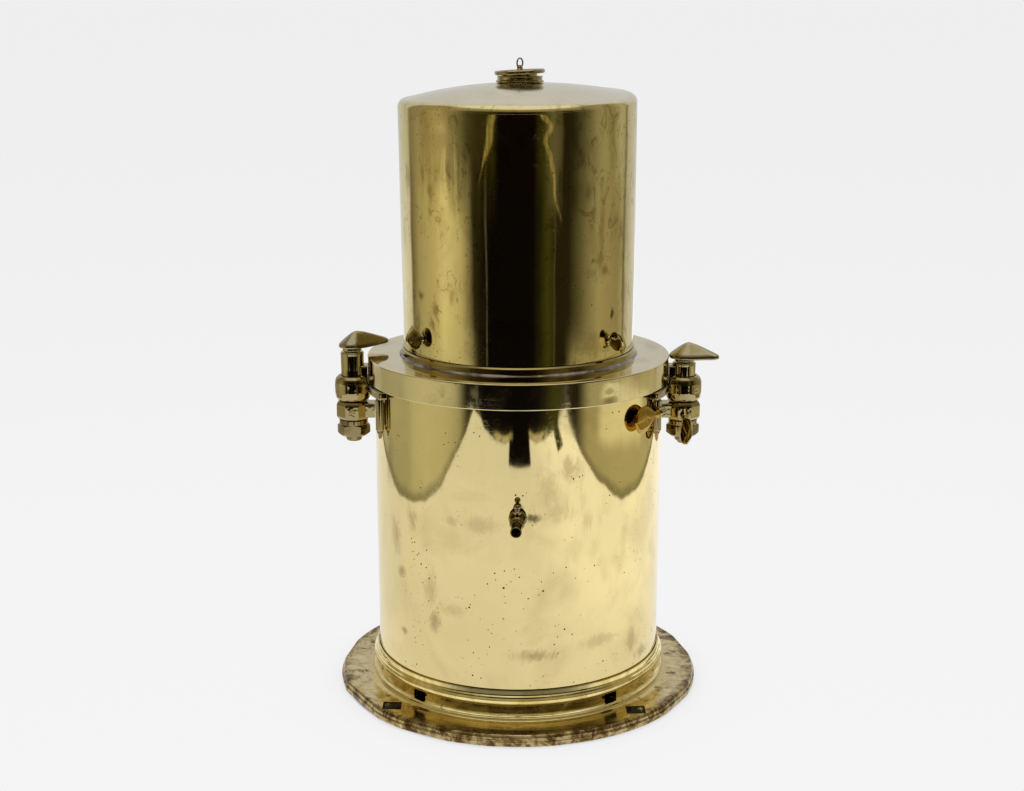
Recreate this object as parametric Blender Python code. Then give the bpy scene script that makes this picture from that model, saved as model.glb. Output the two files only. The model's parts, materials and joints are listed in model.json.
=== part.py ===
# Binnacle compass: a brass drum on a bolted deck flange, a lid held by two
# lever catches, a lift-off hood with a rear window and a vent cap, and a
# compass bowl in gimbals inside the drum.
#
# Frame: origin at the centre of the flange's underside, +Z up, front towards
# -Y (the drain cock), rear towards +Y (the window), left -X, right +X, with
# the catches on the X axis.  Dimensions are in millimetres; every mesh is
# scaled to metres when it is made.  Profiles are lists of (radius, height).
# Azimuths are in degrees from -Y towards +X unless noted.

import math

import bmesh
import bpy
from mathutils import Matrix, Vector

for old in list(bpy.data.objects):
    bpy.data.objects.remove(old, do_unlink=True)

MM = 0.001
GAP = 0.3            # clearance between neighbouring pieces
SEG = 40             # facets round the large turned pieces
SMALL = 12           # facets round pins and screws
SIDES = (("left", -1.0), ("right", 1.0))

# Finishes
POLISHED = dict(rgb=(0.78, 0.64, 0.30), rough=0.14, metal=1.0)
AGED = dict(rgb=(0.55, 0.44, 0.22), rough=0.42, metal=1.0)
DARK = dict(rgb=(0.40, 0.33, 0.18), rough=0.35, metal=1.0)
GOLDEN = dict(rgb=(0.80, 0.55, 0.12), rough=0.16, metal=1.0)
STEEL = dict(rgb=(0.45, 0.45, 0.44), rough=0.35, metal=1.0)
RUBBER = dict(rgb=(0.05, 0.05, 0.05), rough=0.8, metal=0.0)
WINDOW_GLASS = dict(rgb=(0.75, 0.82, 0.80), rough=0.05, metal=0.0)
BOWL_GLASS = dict(rgb=(0.80, 0.86, 0.85), rough=0.03, metal=0.0)
BOWL_BRASS = dict(rgb=(0.50, 0.40, 0.20), rough=0.4, metal=1.0)
BALLAST = dict(rgb=(0.25, 0.25, 0.27), rough=0.6, metal=0.6)
CARD_WHITE = dict(rgb=(0.85, 0.83, 0.75), rough=0.6, metal=0.0)
FLOAT_BRASS = dict(rgb=(0.60, 0.50, 0.28), rough=0.4, metal=1.0)

# Sizes shared between sections
DRUM_R = 105.0
DRUM_WALL = 2.0
DRUM_IN = DRUM_R - DRUM_WALL
DRUM_Z0 = 21.6
DRUM_Z1 = 243.8
LID_R = 109.8
LID_TOP = 249.3
LID_UNDER = LID_TOP - 3.0
HOOD_R = 83.5
HOOD_WALL = 2.0
HOOD_APEX = 442.4
VENT_R = 13.6
PIVOT_Z = 200.0      # gimbal axes


# ---------------------------------------------------------------- helpers

def piece_material(name, look):
    mat = bpy.data.materials.new(name + "_finish")
    mat.use_nodes = True
    colour = (*look["rgb"], 1.0)
    shader = mat.node_tree.nodes["Principled BSDF"]
    shader.inputs["Base Color"].default_value = colour
    shader.inputs["Roughness"].default_value = look["rough"]
    shader.inputs["Metallic"].default_value = look["metal"]
    mat.diffuse_color = colour
    return mat


def add_object(name, shape, origin=(0.0, 0.0, 0.0), sharp=35.0):
    """Turn a bmesh drawn in millimetres into an object in metres."""
    bmesh.ops.remove_doubles(shape, verts=shape.verts, dist=0.0005)
    bmesh.ops.recalc_face_normals(shape, faces=shape.faces)
    shift = Matrix.Translation(-Vector(origin) * MM)
    shape.transform(shift @ Matrix.Scale(MM, 4))
    mesh = bpy.data.meshes.new(name)
    shape.to_mesh(mesh)
    shape.free()
    mesh.shade_smooth()
    mesh.set_sharp_from_angle(angle=math.radians(sharp))
    obj = bpy.data.objects.new(name, mesh)
    obj.location = Vector(origin) * MM
    bpy.context.collection.objects.link(obj)
    return obj


def piece(name, shape, look, origin=(0.0, 0.0, 0.0), sharp=35.0):
    """Visible part with a material of its own."""
    obj = add_object(name, shape, origin, sharp)
    obj.data.materials.append(piece_material(name, look))
    return obj


def tool(name, shape):
    """Hidden operand for a boolean."""
    obj = add_object("tool_" + name, shape)
    obj.hide_render = True
    obj.display_type = 'WIRE'
    return obj


def combine(target, operand, how):
    mod = target.modifiers.new(operand.name, 'BOOLEAN')
    mod.operation = how
    mod.solver = 'EXACT'
    mod.object = operand


def cut(target, cutter):
    combine(target, cutter, 'DIFFERENCE')


def join(target, addition):
    combine(target, addition, 'UNION')


def placed(shape, matrix):
    shape.transform(matrix)
    return shape


def shift(x, y, z):
    return Matrix.Translation((x, y, z))


def rotation(degrees, axis):
    return Matrix.Rotation(math.radians(degrees), 4, axis)


def frame_at(origin, out, up=(0.0, 0.0, 1.0)):
    """Local frame: z along out, y as near to up as it can be."""
    z_axis = Vector(out).normalized()
    x_axis = Vector(up).cross(z_axis).normalized()
    y_axis = z_axis.cross(x_axis)
    frame = Matrix((x_axis, y_axis, z_axis)).transposed().to_4x4()
    frame.translation = Vector(origin)
    return frame


def polar(radius, azimuth, z=0.0):
    angle = math.radians(azimuth)
    return Vector((radius * math.sin(angle), -radius * math.cos(angle), z))


def arc(centre, radius, start, end, steps):
    """Points on an arc in a profile, angles in degrees from outwards to up."""
    angles = [math.radians(start + (end - start) * i / steps) for i in range(steps + 1)]
    return [(centre[0] + radius * math.cos(angle), centre[1] + radius * math.sin(angle))
            for angle in angles]


def lathe(profile, seg=SEG, closed=True, phase=0.0):
    """Spin a profile about Z, starting phase degrees from +X."""
    shape = bmesh.new()
    cosine, sine = math.cos(math.radians(phase)), math.sin(math.radians(phase))
    verts = [shape.verts.new((radius * cosine, radius * sine, z)) for radius, z in profile]
    edges = [shape.edges.new(pair) for pair in zip(verts, verts[1:])]
    if closed:
        edges.append(shape.edges.new((verts[-1], verts[0])))
    bmesh.ops.spin(shape, geom=verts + edges, cent=(0, 0, 0), axis=(0, 0, 1),
                   dvec=(0, 0, 0), angle=2 * math.pi, steps=seg,
                   use_merge=True, use_duplicate=False)
    bmesh.ops.remove_doubles(shape, verts=shape.verts, dist=0.0005)
    bmesh.ops.dissolve_degenerate(shape, edges=shape.edges, dist=0.0001)
    return shape


def solid_lathe(profile, seg=SMALL, phase=0.0):
    """Spin an open profile that starts and ends on the axis."""
    return lathe(profile, seg, closed=False, phase=phase)


def tube(outer, inner, z0, z1, seg=SEG):
    return lathe([(outer, z0), (outer, z1), (inner, z1), (inner, z0)], seg)


def rod(start, end, radius, seg=SMALL):
    """Plain round bar between two points."""
    run = Vector(end) - Vector(start)
    up = (0, 0, 1) if abs(run.normalized().z) < 0.9 else (0, 1, 0)
    profile = [(0, 0), (radius, 0), (radius, run.length), (0, run.length)]
    return placed(solid_lathe(profile, seg), frame_at(start, run, up))


def upright(x, y, z0, z1, radius, seg=SMALL):
    return rod((x, y, z0), (x, y, z1), radius, seg)


def loft(rings, closed=False):
    """Skin a list of rings of equal length; ends are capped unless closed."""
    shape = bmesh.new()
    rows = [[shape.verts.new(point) for point in ring] for ring in rings]
    pairs = list(zip(rows, rows[1:]))
    if closed:
        pairs.append((rows[-1], rows[0]))
    count = len(rows[0])
    for lower, upper in pairs:
        for i in range(count):
            j = (i + 1) % count
            shape.faces.new((lower[i], lower[j], upper[j], upper[i]))
    if not closed:
        shape.faces.new(rows[0])
        shape.faces.new(list(reversed(rows[-1])))
    return shape


def sector(inner, outer, start, end, z0, z1, steps):
    """Curved bar: a rectangle in radius and height swept through azimuths."""
    rings = []
    for i in range(steps + 1):
        azimuth = start + (end - start) * i / steps
        rings.append([polar(inner, azimuth, z0), polar(outer, azimuth, z0),
                      polar(outer, azimuth, z1), polar(inner, azimuth, z1)])
    return loft(rings)


def block(centre, size, turn=0.0):
    shape = bmesh.new()
    bmesh.ops.create_cube(shape, size=1.0)
    return placed(shape, Matrix.Translation(centre) @ rotation(turn, 'Z') @
                  Matrix.Diagonal((*size, 1.0)))


# ---------------------------------------------------------- base and drum

FLANGE_R = 134.2
FLANGE_T = 8.6
PLINTH_R = 107.6
BEAD_R = 109.0
SOCKET_R = DRUM_R + GAP
SOCKET_Z = DRUM_Z0 - GAP
FLOOR_T = 3.2
BASE_PROFILE = [
    (0, 0.0), (FLANGE_R - 1.0, 0.0), (FLANGE_R, 1.2), (FLANGE_R, 5.4),
    (FLANGE_R - 1.8, FLANGE_T), (112.6, 7.9), (109.4, 9.6),
    (PLINTH_R, 12.0), (PLINTH_R, 18.8), (BEAD_R, 20.2), (BEAD_R, 23.9),
    (PLINTH_R - 0.6, 25.6), (106.6, 26.4), (106.6, 29.7),
    (SOCKET_R, 29.7), (SOCKET_R, SOCKET_Z),
    (101.0, SOCKET_Z), (101.0, FLOOR_T), (0, FLOOR_T)]
BOLT_HOLE = (12.5, 12.5, 24.0)
BOLT_PCR = 122.8     # pitch radius
PATTERN_TURN = -2.3  # the bolt holes are turned slightly off the diagonals
WEEP_AZIMUTHS = (37.6, 142.4, -142.4, -41.0)
WEEP_SLOT = (11.0, 14.0, 7.4)   # across, radially, high


def build_base():
    base = piece("base_flange", solid_lathe(BASE_PROFILE, SEG), AGED)
    for k in range(4):
        centre = polar(BOLT_PCR, 45.0 + 90.0 * k + PATTERN_TURN, 4.0)
        cut(base, tool("bolt_hole_%d" % k, block(centre, BOLT_HOLE)))
    for k, azimuth in enumerate(WEEP_AZIMUTHS):
        slot = block(polar(DRUM_R, azimuth, 15.6), WEEP_SLOT, turn=azimuth)
        cut(base, tool("weep_%d" % k, slot))


build_base()
drum = piece("drum_shell", tube(DRUM_R, DRUM_IN, DRUM_Z0, DRUM_Z1), POLISHED)

# ------------------------------------------------------------- drain cock

COCK_AT = Vector((-0.6, -DRUM_R, 156.0))
COCK_DROOP = math.radians(5.0)
COCK_YAW = math.radians(3.0)
COCK_DIR = Vector((-math.sin(COCK_YAW) * math.cos(COCK_DROOP),
                   -math.cos(COCK_YAW) * math.cos(COCK_DROOP),
                   -math.sin(COCK_DROOP)))
COCK_FRAME = frame_at(COCK_AT, COCK_DIR)
KEY_OUT = 7.0        # the key stands this far out along the cock
# Key frame: z across the cock, upwards
KEY_FRAME = COCK_FRAME @ shift(0, 0, KEY_OUT) @ rotation(-90, 'X')

COCK_PROFILE = [
    (6.2, 1.2), (6.2, 3.6), (5.2, 4.4), (5.2, 12.6), (4.4, 13.4),
    (4.4, 16.0), (3.9, 16.6), (3.9, 27.0), (3.2, 27.0), (3.2, 15.6),
    (1.5, 14.0), (1.5, 1.2)]
KEY_PROFILE = [
    (0, -6.2), (1.6, -6.2), (2.1, -5.6), (2.1, 5.6), (2.9, 5.7),
    (2.9, 7.2), (1.7, 7.6), (1.7, 9.6), (2.3, 10.0), (2.3, 11.6),
    (1.6, 12.3), (0, 12.3)]
KEY_HOLE_PROFILE = [(0, -8.0), (2.5, -8.0), (2.5, 8.0), (0, 8.0)]


def build_cock():
    body = piece("cock_body", placed(lathe(COCK_PROFILE, 16), COCK_FRAME), DARK)
    cut(body, tool("key_hole", placed(solid_lathe(KEY_HOLE_PROFILE), KEY_FRAME)))
    cut(drum, tool("cock_hole", rod(COCK_AT - COCK_DIR * 6, COCK_AT + COCK_DIR * 4, 3.0)))
    piece("cock_key", placed(solid_lathe(KEY_PROFILE), KEY_FRAME), DARK,
          origin=KEY_FRAME.translation)


build_cock()

# --------------------------------------------- lid, gasket and hood collar

LID_SKIRT_IN = 106.0
LID_SKIRT_Z = 231.3
LID_MOUTH_R = 79.0
LID_PROFILE = [
    (LID_R, LID_SKIRT_Z), (LID_R, LID_TOP - 0.9), (LID_R - 0.9, LID_TOP),
    (LID_MOUTH_R, LID_TOP), (LID_MOUTH_R, LID_UNDER),
    (LID_SKIRT_IN, LID_UNDER), (LID_SKIRT_IN, LID_SKIRT_Z)]
COLLAR_OUT = HOOD_R - HOOD_WALL - GAP    # the hood slips over the collar
COLLAR_IN = 79.4
COLLAR_PROFILE = [
    (85.2, LID_TOP + GAP), (85.2, 253.9), (84.4, 255.0), (COLLAR_OUT, 255.0),
    (COLLAR_OUT, 274.4), (COLLAR_OUT - 0.5, 275.0), (COLLAR_IN, 275.0),
    (COLLAR_IN, LID_TOP + GAP)]

piece("lid_plate", lathe(LID_PROFILE), POLISHED)
piece("lid_gasket", tube(105.6, 101.2, DRUM_Z1 + GAP, LID_UNDER - GAP), RUBBER)
piece("hood_collar", lathe(COLLAR_PROFILE), AGED)

# ----------------------------------------------------------- thumb screws

# Stations: distance outwards, half width, half thickness
HOOD_SCREW = [
    (-3.4, 2.0, 2.0), (1.0, 2.0, 2.0), (1.1, 3.3, 3.3), (2.0, 3.2, 3.0),
    (2.9, 2.4, 2.1), (4.2, 4.4, 1.6), (6.4, 6.8, 1.5), (8.8, 7.5, 1.4),
    (11.0, 6.4, 1.3), (12.6, 4.0, 1.1), (13.4, 1.6, 0.8)]
PIN_SCREW = [
    (2.1, 1.3, 1.3), (5.0, 1.3, 1.3), (5.1, 3.0, 3.0), (7.6, 2.6, 2.6),
    (9.6, 2.4, 1.9), (12.0, 4.2, 1.5), (16.0, 7.0, 1.3), (21.0, 9.2, 1.2),
    (26.0, 9.5, 1.2), (30.5, 8.0, 1.1), (33.6, 4.6, 1.0), (34.8, 1.6, 0.7)]
CATCH_SCREW = [
    (-3.6, 1.9, 1.9), (3.4, 1.9, 1.9), (3.5, 3.1, 3.1), (5.2, 2.7, 2.7),
    (6.6, 2.4, 1.9), (9.0, 4.6, 1.5), (13.0, 6.8, 1.4), (18.0, 7.5, 1.3),
    (23.0, 6.4, 1.3), (26.4, 4.0, 1.1), (28.2, 1.6, 0.8)]
SCREW_SEG = 10


def thumb_screw(name, stations, origin, out):
    """Skin oval sections along out, the flat head's width near upright."""
    angles = [2 * math.pi * i / SCREW_SEG for i in range(SCREW_SEG)]
    rings = [[(half_thick * math.cos(angle), half_wide * math.sin(angle), distance)
              for angle in angles]
             for distance, half_wide, half_thick in stations]
    piece(name, placed(loft(rings), frame_at(origin, out)), GOLDEN, origin=origin)


# ---------------------------------------------------------------- catches

CATCH_X = 121.5
CATCH_DRAW = 7.8     # how far a catch draws down
# Side, sign of X, how far drawn down, handle angle from +X towards +Y
CATCHES = (("left", -1.0, 0.0, 23.4),
           ("right", 1.0, CATCH_DRAW, -34.2))
SLIDE_ORIGIN_Z = 230.0   # origin height of sleeve and spindle when slack

# Drum side: faceted boss with a threaded spigot below
BOSS_PROFILE = [(0, 199.5), (11.6, 199.5), (12.9, 201.6), (12.9, 210.6),
                (11.8, 212.8), (0, 212.8)]
ARM_SIZE = (14.0, 15.0, 10.6)
SPIGOT_PROFILE = [(0, 182.8), (5.2, 182.8), (5.8, 183.6), (5.8, 200.5), (0, 200.5)]
STAR_RADII = (2.9, 1.7)

# Nut sections: radius, height; HEX follows the hexagon instead of a circle
HEX = "hex"
HEX_HALF_FLATS = 10.45
NUT_SECTIONS = ((HEX, 187.6), (HEX, 195.4), (10.6, 195.9), (10.6, 199.2),
                (6.1, 199.2), (6.1, 186.8), (10.4, 186.8))

# Lid side: bulb housing
HOUSING_PROFILE = [
    (0, 213.6), (11.4, 213.6), (12.5, 215.2), (13.2, 219.0),
    (13.2, 227.4), (12.5, 229.6), (10.2, 232.0), (0, 232.0)]
HOUSING_BORE_PROFILE = [(0, 208.0), (4.6, 208.0), (4.6, 214.7), (8.9, 214.7),
                        (8.9, 248.0), (0, 248.0)]
WEB_SIZE = (6.4, 13.0, 12.6)

# Moving parts, at their slack height
SLEEVE_PROFILE = [
    (8.6, 223.5), (8.6, 248.8), (8.1, 249.5), (4.3, 249.5),
    (4.3, 246.6), (6.4, 246.6), (6.4, 223.5)]
SPINDLE_PROFILE = [(0, 188.5), (3.2, 188.5), (3.8, 189.2), (3.8, 249.8), (0, 249.8)]

# Handle: a low lopsided cone over a teardrop
HANDLE_UNDER = 252.6     # underside when the catch is slack
HEAD_R = 11.2
TIP_R = 3.5
TIP_C = 24.4             # tip centre from the axis
HANDLE_APEX_X = 3.5
LIFT_FROM = 9.0          # the tip end is lifted from here outwards
# Sections: scale about the apex, height, lift at the tip
HANDLE_SECTIONS = ((1.0, 0.0, 1.4), (1.0, 3.0, 2.0), (0.94, 4.4, 1.8),
                   (0.62, 7.6, 0.8), (0.24, 10.4, 0.0), (0.05, 11.2, 0.0))

# Guide pins, fixed to the lid side and sliding in sleeves on the drum
PIN_AZIMUTH = 65.0
PIN_PR = 108.4
PIN_R = 1.6
PIN_HOLE_R = 1.95
PIN_PROFILE = [(0, 196.2), (0.5, 196.5), (PIN_R, 199.8), (PIN_R, 230.4), (0, 230.4)]
GUIDE_PROFILE = [(0, 201.1), (2.5, 201.1), (2.9, 201.8), (2.9, 224.2), (0, 224.2)]
GUIDE_WEB_SIZE = (3.6, 4.4, 17.0)

# Catch lock screw: enters the right boss from the front and below
CLAMP_SLOPE = math.radians(40.0)
CLAMP_OUT = Vector((0.0, -math.cos(CLAMP_SLOPE), -math.sin(CLAMP_SLOPE)))
CLAMP_AT = Vector((CATCH_X, -11.9, 206.4))

# Pin lock screw: clamps the right guide pin through a boss on its sleeve
LOCK_TURN = math.radians(35.0)
LOCK_OUT = Vector((-math.sin(LOCK_TURN), -math.cos(LOCK_TURN), -0.05)).normalized()
LOCK_AT = polar(PIN_PR + 2.6, PIN_AZIMUTH, 215.7)
LOCK_BOSS_PROFILE = [(0, -2.4), (3.6, -2.4), (3.6, 3.6), (2.9, 4.4), (0, 4.4)]

# Tools that trim the catch parts clear of the lid and the drum
lid_clear = tool("lid_clear", tube(LID_R + GAP, 60.0, 231.0, 262.0))
drum_clear = tool("drum_clear", tube(DRUM_R + GAP, 60.0, 180.0, 236.0))


def star_hole(axis_x):
    """Five-pointed hole into the front of the left boss."""
    rings = []
    for y in (-16.0, -5.2):
        ring = []
        for i in range(10):
            radius, angle = STAR_RADII[i % 2], math.pi * i / 5
            ring.append((axis_x + radius * math.cos(angle), y,
                         205.8 + radius * math.sin(angle)))
        rings.append(ring)
    return loft(rings)


def build_catch_base(side, sign, axis_x):
    on_axis = shift(axis_x, 0, 0)
    boss = placed(solid_lathe(BOSS_PROFILE, 8, phase=22.5), on_axis)
    base = piece("catch_base_" + side, boss, AGED)
    if side == "right":
        cut(base, tool("clamp_hole", rod(CLAMP_AT - CLAMP_OUT * 4.0,
                                         CLAMP_AT + CLAMP_OUT * 9.0, 2.3)))
    else:
        cut(base, tool("empty_hole", star_hole(axis_x)))
    join(base, tool("arm_" + side, block((sign * 110.0, 0, 206.2), ARM_SIZE)))
    cut(base, drum_clear)
    join(base, tool("spigot_" + side, placed(solid_lathe(SPIGOT_PROFILE), on_axis)))
    cut(base, tool("base_bore_" + side, upright(axis_x, 0, 178, 218, 4.6)))


def build_nut(side, axis_x):
    """Hexagon nut under a round flange, on the spigot."""
    rings = []
    for section, z in NUT_SECTIONS:
        ring = []
        for degrees in range(0, 360, 15):
            radius = section
            if section == HEX:
                fold = (degrees + 30.0) % 60.0 - 30.0
                radius = HEX_HALF_FLATS / math.cos(math.radians(fold))
            angle = math.radians(degrees)
            ring.append((axis_x + radius * math.cos(angle), radius * math.sin(angle), z))
        rings.append(ring)
    piece("catch_nut_" + side, loft(rings, closed=True), DARK)


def build_housing(side, sign, axis_x, lug):
    """Bulb housing with a web on the lid skirt and a bracket to the pin."""
    on_axis = shift(axis_x, 0, 0)
    housing = piece("catch_housing_" + side,
                    placed(solid_lathe(HOUSING_PROFILE, 16), on_axis), AGED)
    join(housing, tool("web_" + side, block((sign * 112.6, 0, 233.5), WEB_SIZE)))
    start, end = sorted((sign * 60.5, sign * 86.0))
    bracket = tool("bracket_" + side, sector(105.6, 112.0, start, end, 225.2, 230.9, 6))
    cut(bracket, tool("lug_hole_" + side, upright(lug.x, lug.y, 220, 236, PIN_HOLE_R)))
    join(housing, bracket)
    cut(housing, lid_clear)
    cut(housing, tool("house_bore_" + side,
                      placed(solid_lathe(HOUSING_BORE_PROFILE, 16), on_axis)))


def build_guide(side, sign, lug):
    """Pin and the sleeve it slides in; the right sleeve has the lock boss."""
    at_lug = shift(lug.x, lug.y, 0)
    piece("guide_pin_" + side, placed(solid_lathe(PIN_PROFILE), at_lug), DARK)
    sleeve = piece("guide_sleeve_" + side, placed(solid_lathe(GUIDE_PROFILE), at_lug), AGED)
    azimuth = sign * PIN_AZIMUTH
    web = block(polar(105.8, azimuth, 213.0), GUIDE_WEB_SIZE, turn=azimuth)
    join(sleeve, tool("guide_web_" + side, web))
    cut(sleeve, drum_clear)
    bore = tool("guide_bore_" + side, upright(lug.x, lug.y, 198, 228, PIN_HOLE_R))
    if side == "right":
        boss = placed(solid_lathe(LOCK_BOSS_PROFILE), frame_at(LOCK_AT, LOCK_OUT))
        join(sleeve, tool("lock_boss", boss))
        join(bore, tool("lock_hole", rod(LOCK_AT - LOCK_OUT * 1.6,
                                         LOCK_AT + LOCK_OUT * 8, 1.7)))
    cut(sleeve, bore)


def build_slide(side, axis_x, drawn):
    """Sliding sleeve and the spindle inside it."""
    lowered = shift(axis_x, 0, -drawn)
    origin = (axis_x, 0, SLIDE_ORIGIN_Z - drawn)
    piece("catch_sleeve_" + side, placed(lathe(SLEEVE_PROFILE, 16), lowered), AGED,
          origin=origin)
    piece("catch_spindle_" + side, placed(solid_lathe(SPINDLE_PROFILE), lowered), STEEL,
          origin=origin)


def teardrop(head_steps=10, tip_steps=4):
    """Handle outline: a round head about the axis and a small round tip."""
    flank = math.acos((HEAD_R - TIP_R) / TIP_C)
    points = []
    for i in range(head_steps + 1):
        angle = flank + (2 * math.pi - 2 * flank) * i / head_steps
        points.append((HEAD_R * math.cos(angle), HEAD_R * math.sin(angle)))
    for i in range(tip_steps + 1):
        angle = -flank + 2 * flank * i / tip_steps
        points.append((TIP_C + TIP_R * math.cos(angle), TIP_R * math.sin(angle)))
    return points


def build_handle(side, axis_x, drawn, angle):
    rings = []
    for scale, z, lift in HANDLE_SECTIONS:
        ring = []
        for x, y in teardrop():
            along = (x - LIFT_FROM) / (TIP_C + TIP_R - LIFT_FROM)
            share = min(1.0, max(0.0, along))
            ring.append((HANDLE_APEX_X + (x - HANDLE_APEX_X) * scale, y * scale,
                         z + lift * share))
        rings.append(ring)
    under = HANDLE_UNDER - drawn
    shape = placed(loft(rings), shift(axis_x, 0, under) @ rotation(angle, 'Z'))
    handle = piece("catch_handle_" + side, shape, AGED, origin=(axis_x, 0, under), sharp=50.0)
    join(handle, tool("hub_" + side,
                      upright(axis_x, 0, 250.1 - drawn, 256.0 - drawn, 7.0, 16)))


for side, sign, drawn, handle_angle in CATCHES:
    axis_x = sign * CATCH_X
    lug = polar(PIN_PR, sign * PIN_AZIMUTH)
    build_catch_base(side, sign, axis_x)
    build_nut(side, axis_x)
    build_housing(side, sign, axis_x, lug)
    build_guide(side, sign, lug)
    build_slide(side, axis_x, drawn)
    build_handle(side, axis_x, drawn, handle_angle)
thumb_screw("pin_lock_screw", PIN_SCREW, LOCK_AT, LOCK_OUT)
thumb_screw("catch_lock_screw", CATCH_SCREW, CLAMP_AT, CLAMP_OUT)

# --------------------------------------------------------------- the hood

HOOD_IN = HOOD_R - HOOD_WALL
HOOD_Z0 = 255.4
SHOULDER_R = 6.2
SHOULDER_C = (HOOD_R - SHOULDER_R, 424.3)   # centre of the shoulder's arc
DOME_RISE = HOOD_APEX - (SHOULDER_C[1] + SHOULDER_R)
DOME_R = (SHOULDER_C[0] ** 2 + DOME_RISE ** 2) / (2 * DOME_RISE)
DOME_MID = 50.0      # radius of the dome's one point between shoulder and vent

# Rear window
WIN_HALF = 32.0      # half angle of the glass, degrees
WIN_Z0 = 300.5
WIN_Z1 = 404.5

SCREW_Z = 268.5
HOOD_SCREW_AZIMUTHS = (("left", -54.0), ("right", 49.0), ("rear", 177.5))
SCREW_BOSS_PROFILE = [(4.3, 0.1), (4.3, 0.9), (3.5, 2.2), (2.3, 2.2), (2.3, 0.1)]


def dome_point(radius, inset=0.0):
    sphere = DOME_R - inset
    return radius, HOOD_APEX - DOME_R + math.sqrt(sphere * sphere - radius * radius)


def rear_sector(inner, outer, spread, margin, steps):
    """Sector about +Y, wider and taller than the glass by spread and margin."""
    half = WIN_HALF + spread
    return sector(inner, outer, 180 - half, 180 + half,
                  WIN_Z0 - margin, WIN_Z1 + margin, steps)


def build_hood():
    outer = [(HOOD_R, HOOD_Z0), *arc(SHOULDER_C, SHOULDER_R, 0, 68, 3),
             dome_point(DOME_MID), dome_point(VENT_R)]
    inner = [dome_point(VENT_R, HOOD_WALL), dome_point(DOME_MID, HOOD_WALL),
             *arc(SHOULDER_C, SHOULDER_R - HOOD_WALL, 68, 0, 2), (HOOD_IN, HOOD_Z0)]
    return piece("hood_shell", lathe(outer + inner), POLISHED)


def build_window():
    cut(hood, tool("window_hole", rear_sector(78.0, 88.0, 0.4, 0.6, 8)))
    piece("window_glass", rear_sector(81.9, 83.2, 0.0, 0.0, 8), WINDOW_GLASS)
    frame = piece("window_frame",
                  rear_sector(HOOD_R + 0.4, HOOD_R + 2.8, 4.5, 8, 10), AGED)
    cut(frame, tool("frame_hole", rear_sector(80.0, 92.0, -1.2, -2, 9)))


def build_hood_screw(side, azimuth):
    out = polar(1.0, azimuth)
    face = polar(HOOD_R + GAP, azimuth, SCREW_Z)
    boss = placed(lathe(SCREW_BOSS_PROFILE, SMALL), frame_at(face, out))
    piece("screw_boss_" + side, boss, AGED)
    cut(hood, tool("screw_hole_" + side, rod(polar(78.0, azimuth, SCREW_Z),
                                             polar(88.0, azimuth, SCREW_Z), 2.4)))
    thumb_screw("hood_thumbscrew_" + side, HOOD_SCREW,
                polar(HOOD_R + GAP + 1.4, azimuth, SCREW_Z), out)


hood = build_hood()
build_window()
for side, azimuth in HOOD_SCREW_AZIMUTHS:
    build_hood_screw(side, azimuth)

# ---------------------------------------------------- vent neck and cap

VENT_X = 0.92        # neck and cap sit a little towards +X
NECK_PROFILE = [
    (16.9, HOOD_APEX), (16.9, 443.6), (15.9, 444.2), (15.9, 446.0),
    (16.6, 446.8), (VENT_R, 446.8), (VENT_R, HOOD_APEX)]
CAP_Z = 448.0
CAP_TILT = -2.9      # the loose cap sits with its +X edge high
CAP_PROFILE = [
    (0, -3.4), (12.2, -3.4), (12.2, 0.0), (17.2, 0.0), (17.8, 0.7),
    (17.8, 2.3), (17.1, 3.0), (15.2, 2.8), (13.0, 1.5), (0, 1.3)]

EYE_AT = Vector((VENT_X, 0, 452.3))
EYE_DIR = Vector((0.6, 0.8, 0.0))    # the ring's wire runs this way through the eye
EYE_SIDE = Vector((-0.8, 0.6, 0.0))
EYE_R = 2.0
EYE_FOOT = -2.5
LOOP_R = 3.3
WIRE_R = 0.7
UP = Vector((0, 0, 1))


def build_eye():
    """Flat plate with a round top and a hole for the ring."""
    outline = [(-EYE_R, EYE_FOOT), (EYE_R, EYE_FOOT)] + arc((0, 0), EYE_R, 0, 180, 6)
    rings = [[EYE_AT + EYE_DIR * depth + EYE_SIDE * across + UP * height
              for across, height in outline] for depth in (-0.8, 0.8)]
    eye = piece("cap_eye", loft(rings), AGED)
    cut(eye, tool("eye_hole", rod(EYE_AT - EYE_DIR * 3, EYE_AT + EYE_DIR * 3, 1.15, 10)))


def build_cap_ring():
    """Wire ring standing up from the eye."""
    rings = []
    for i in range(16):
        angle = 2 * math.pi * i / 16
        radial = EYE_DIR * math.sin(angle) - UP * math.cos(angle)
        centre = EYE_AT + UP * LOOP_R + radial * LOOP_R
        rings.append([centre + radial * (WIRE_R * math.cos(2 * math.pi * k / 6)) +
                      EYE_SIDE * (WIRE_R * math.sin(2 * math.pi * k / 6))
                      for k in range(6)])
    piece("cap_ring", loft(rings, closed=True), STEEL, origin=EYE_AT)


piece("vent_neck", placed(lathe(NECK_PROFILE, 20), shift(VENT_X, 0, 0)), AGED)
piece("vent_cap", placed(solid_lathe(CAP_PROFILE, 20),
                         shift(VENT_X, 0, CAP_Z) @ rotation(CAP_TILT, 'Y')),
      AGED, origin=(VENT_X, 0, CAP_Z))
build_eye()
build_cap_ring()

# --------------------------------------------------------------- gimbals

RING_IN = 88.0
RING_OUT = 94.0
RING_HALF = 4.0      # half the ring's height
PIVOT_R = 2.0
PIVOT_HOLE_R = 2.35
BEARING_X = 99.6
BEARING_SIZE = (8.4, 13.0, 18.0)
BEARING_SLOT = (12.0, 4.9, 8.8)
PIVOT_CENTRE = (0, 0, PIVOT_Z)


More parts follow.
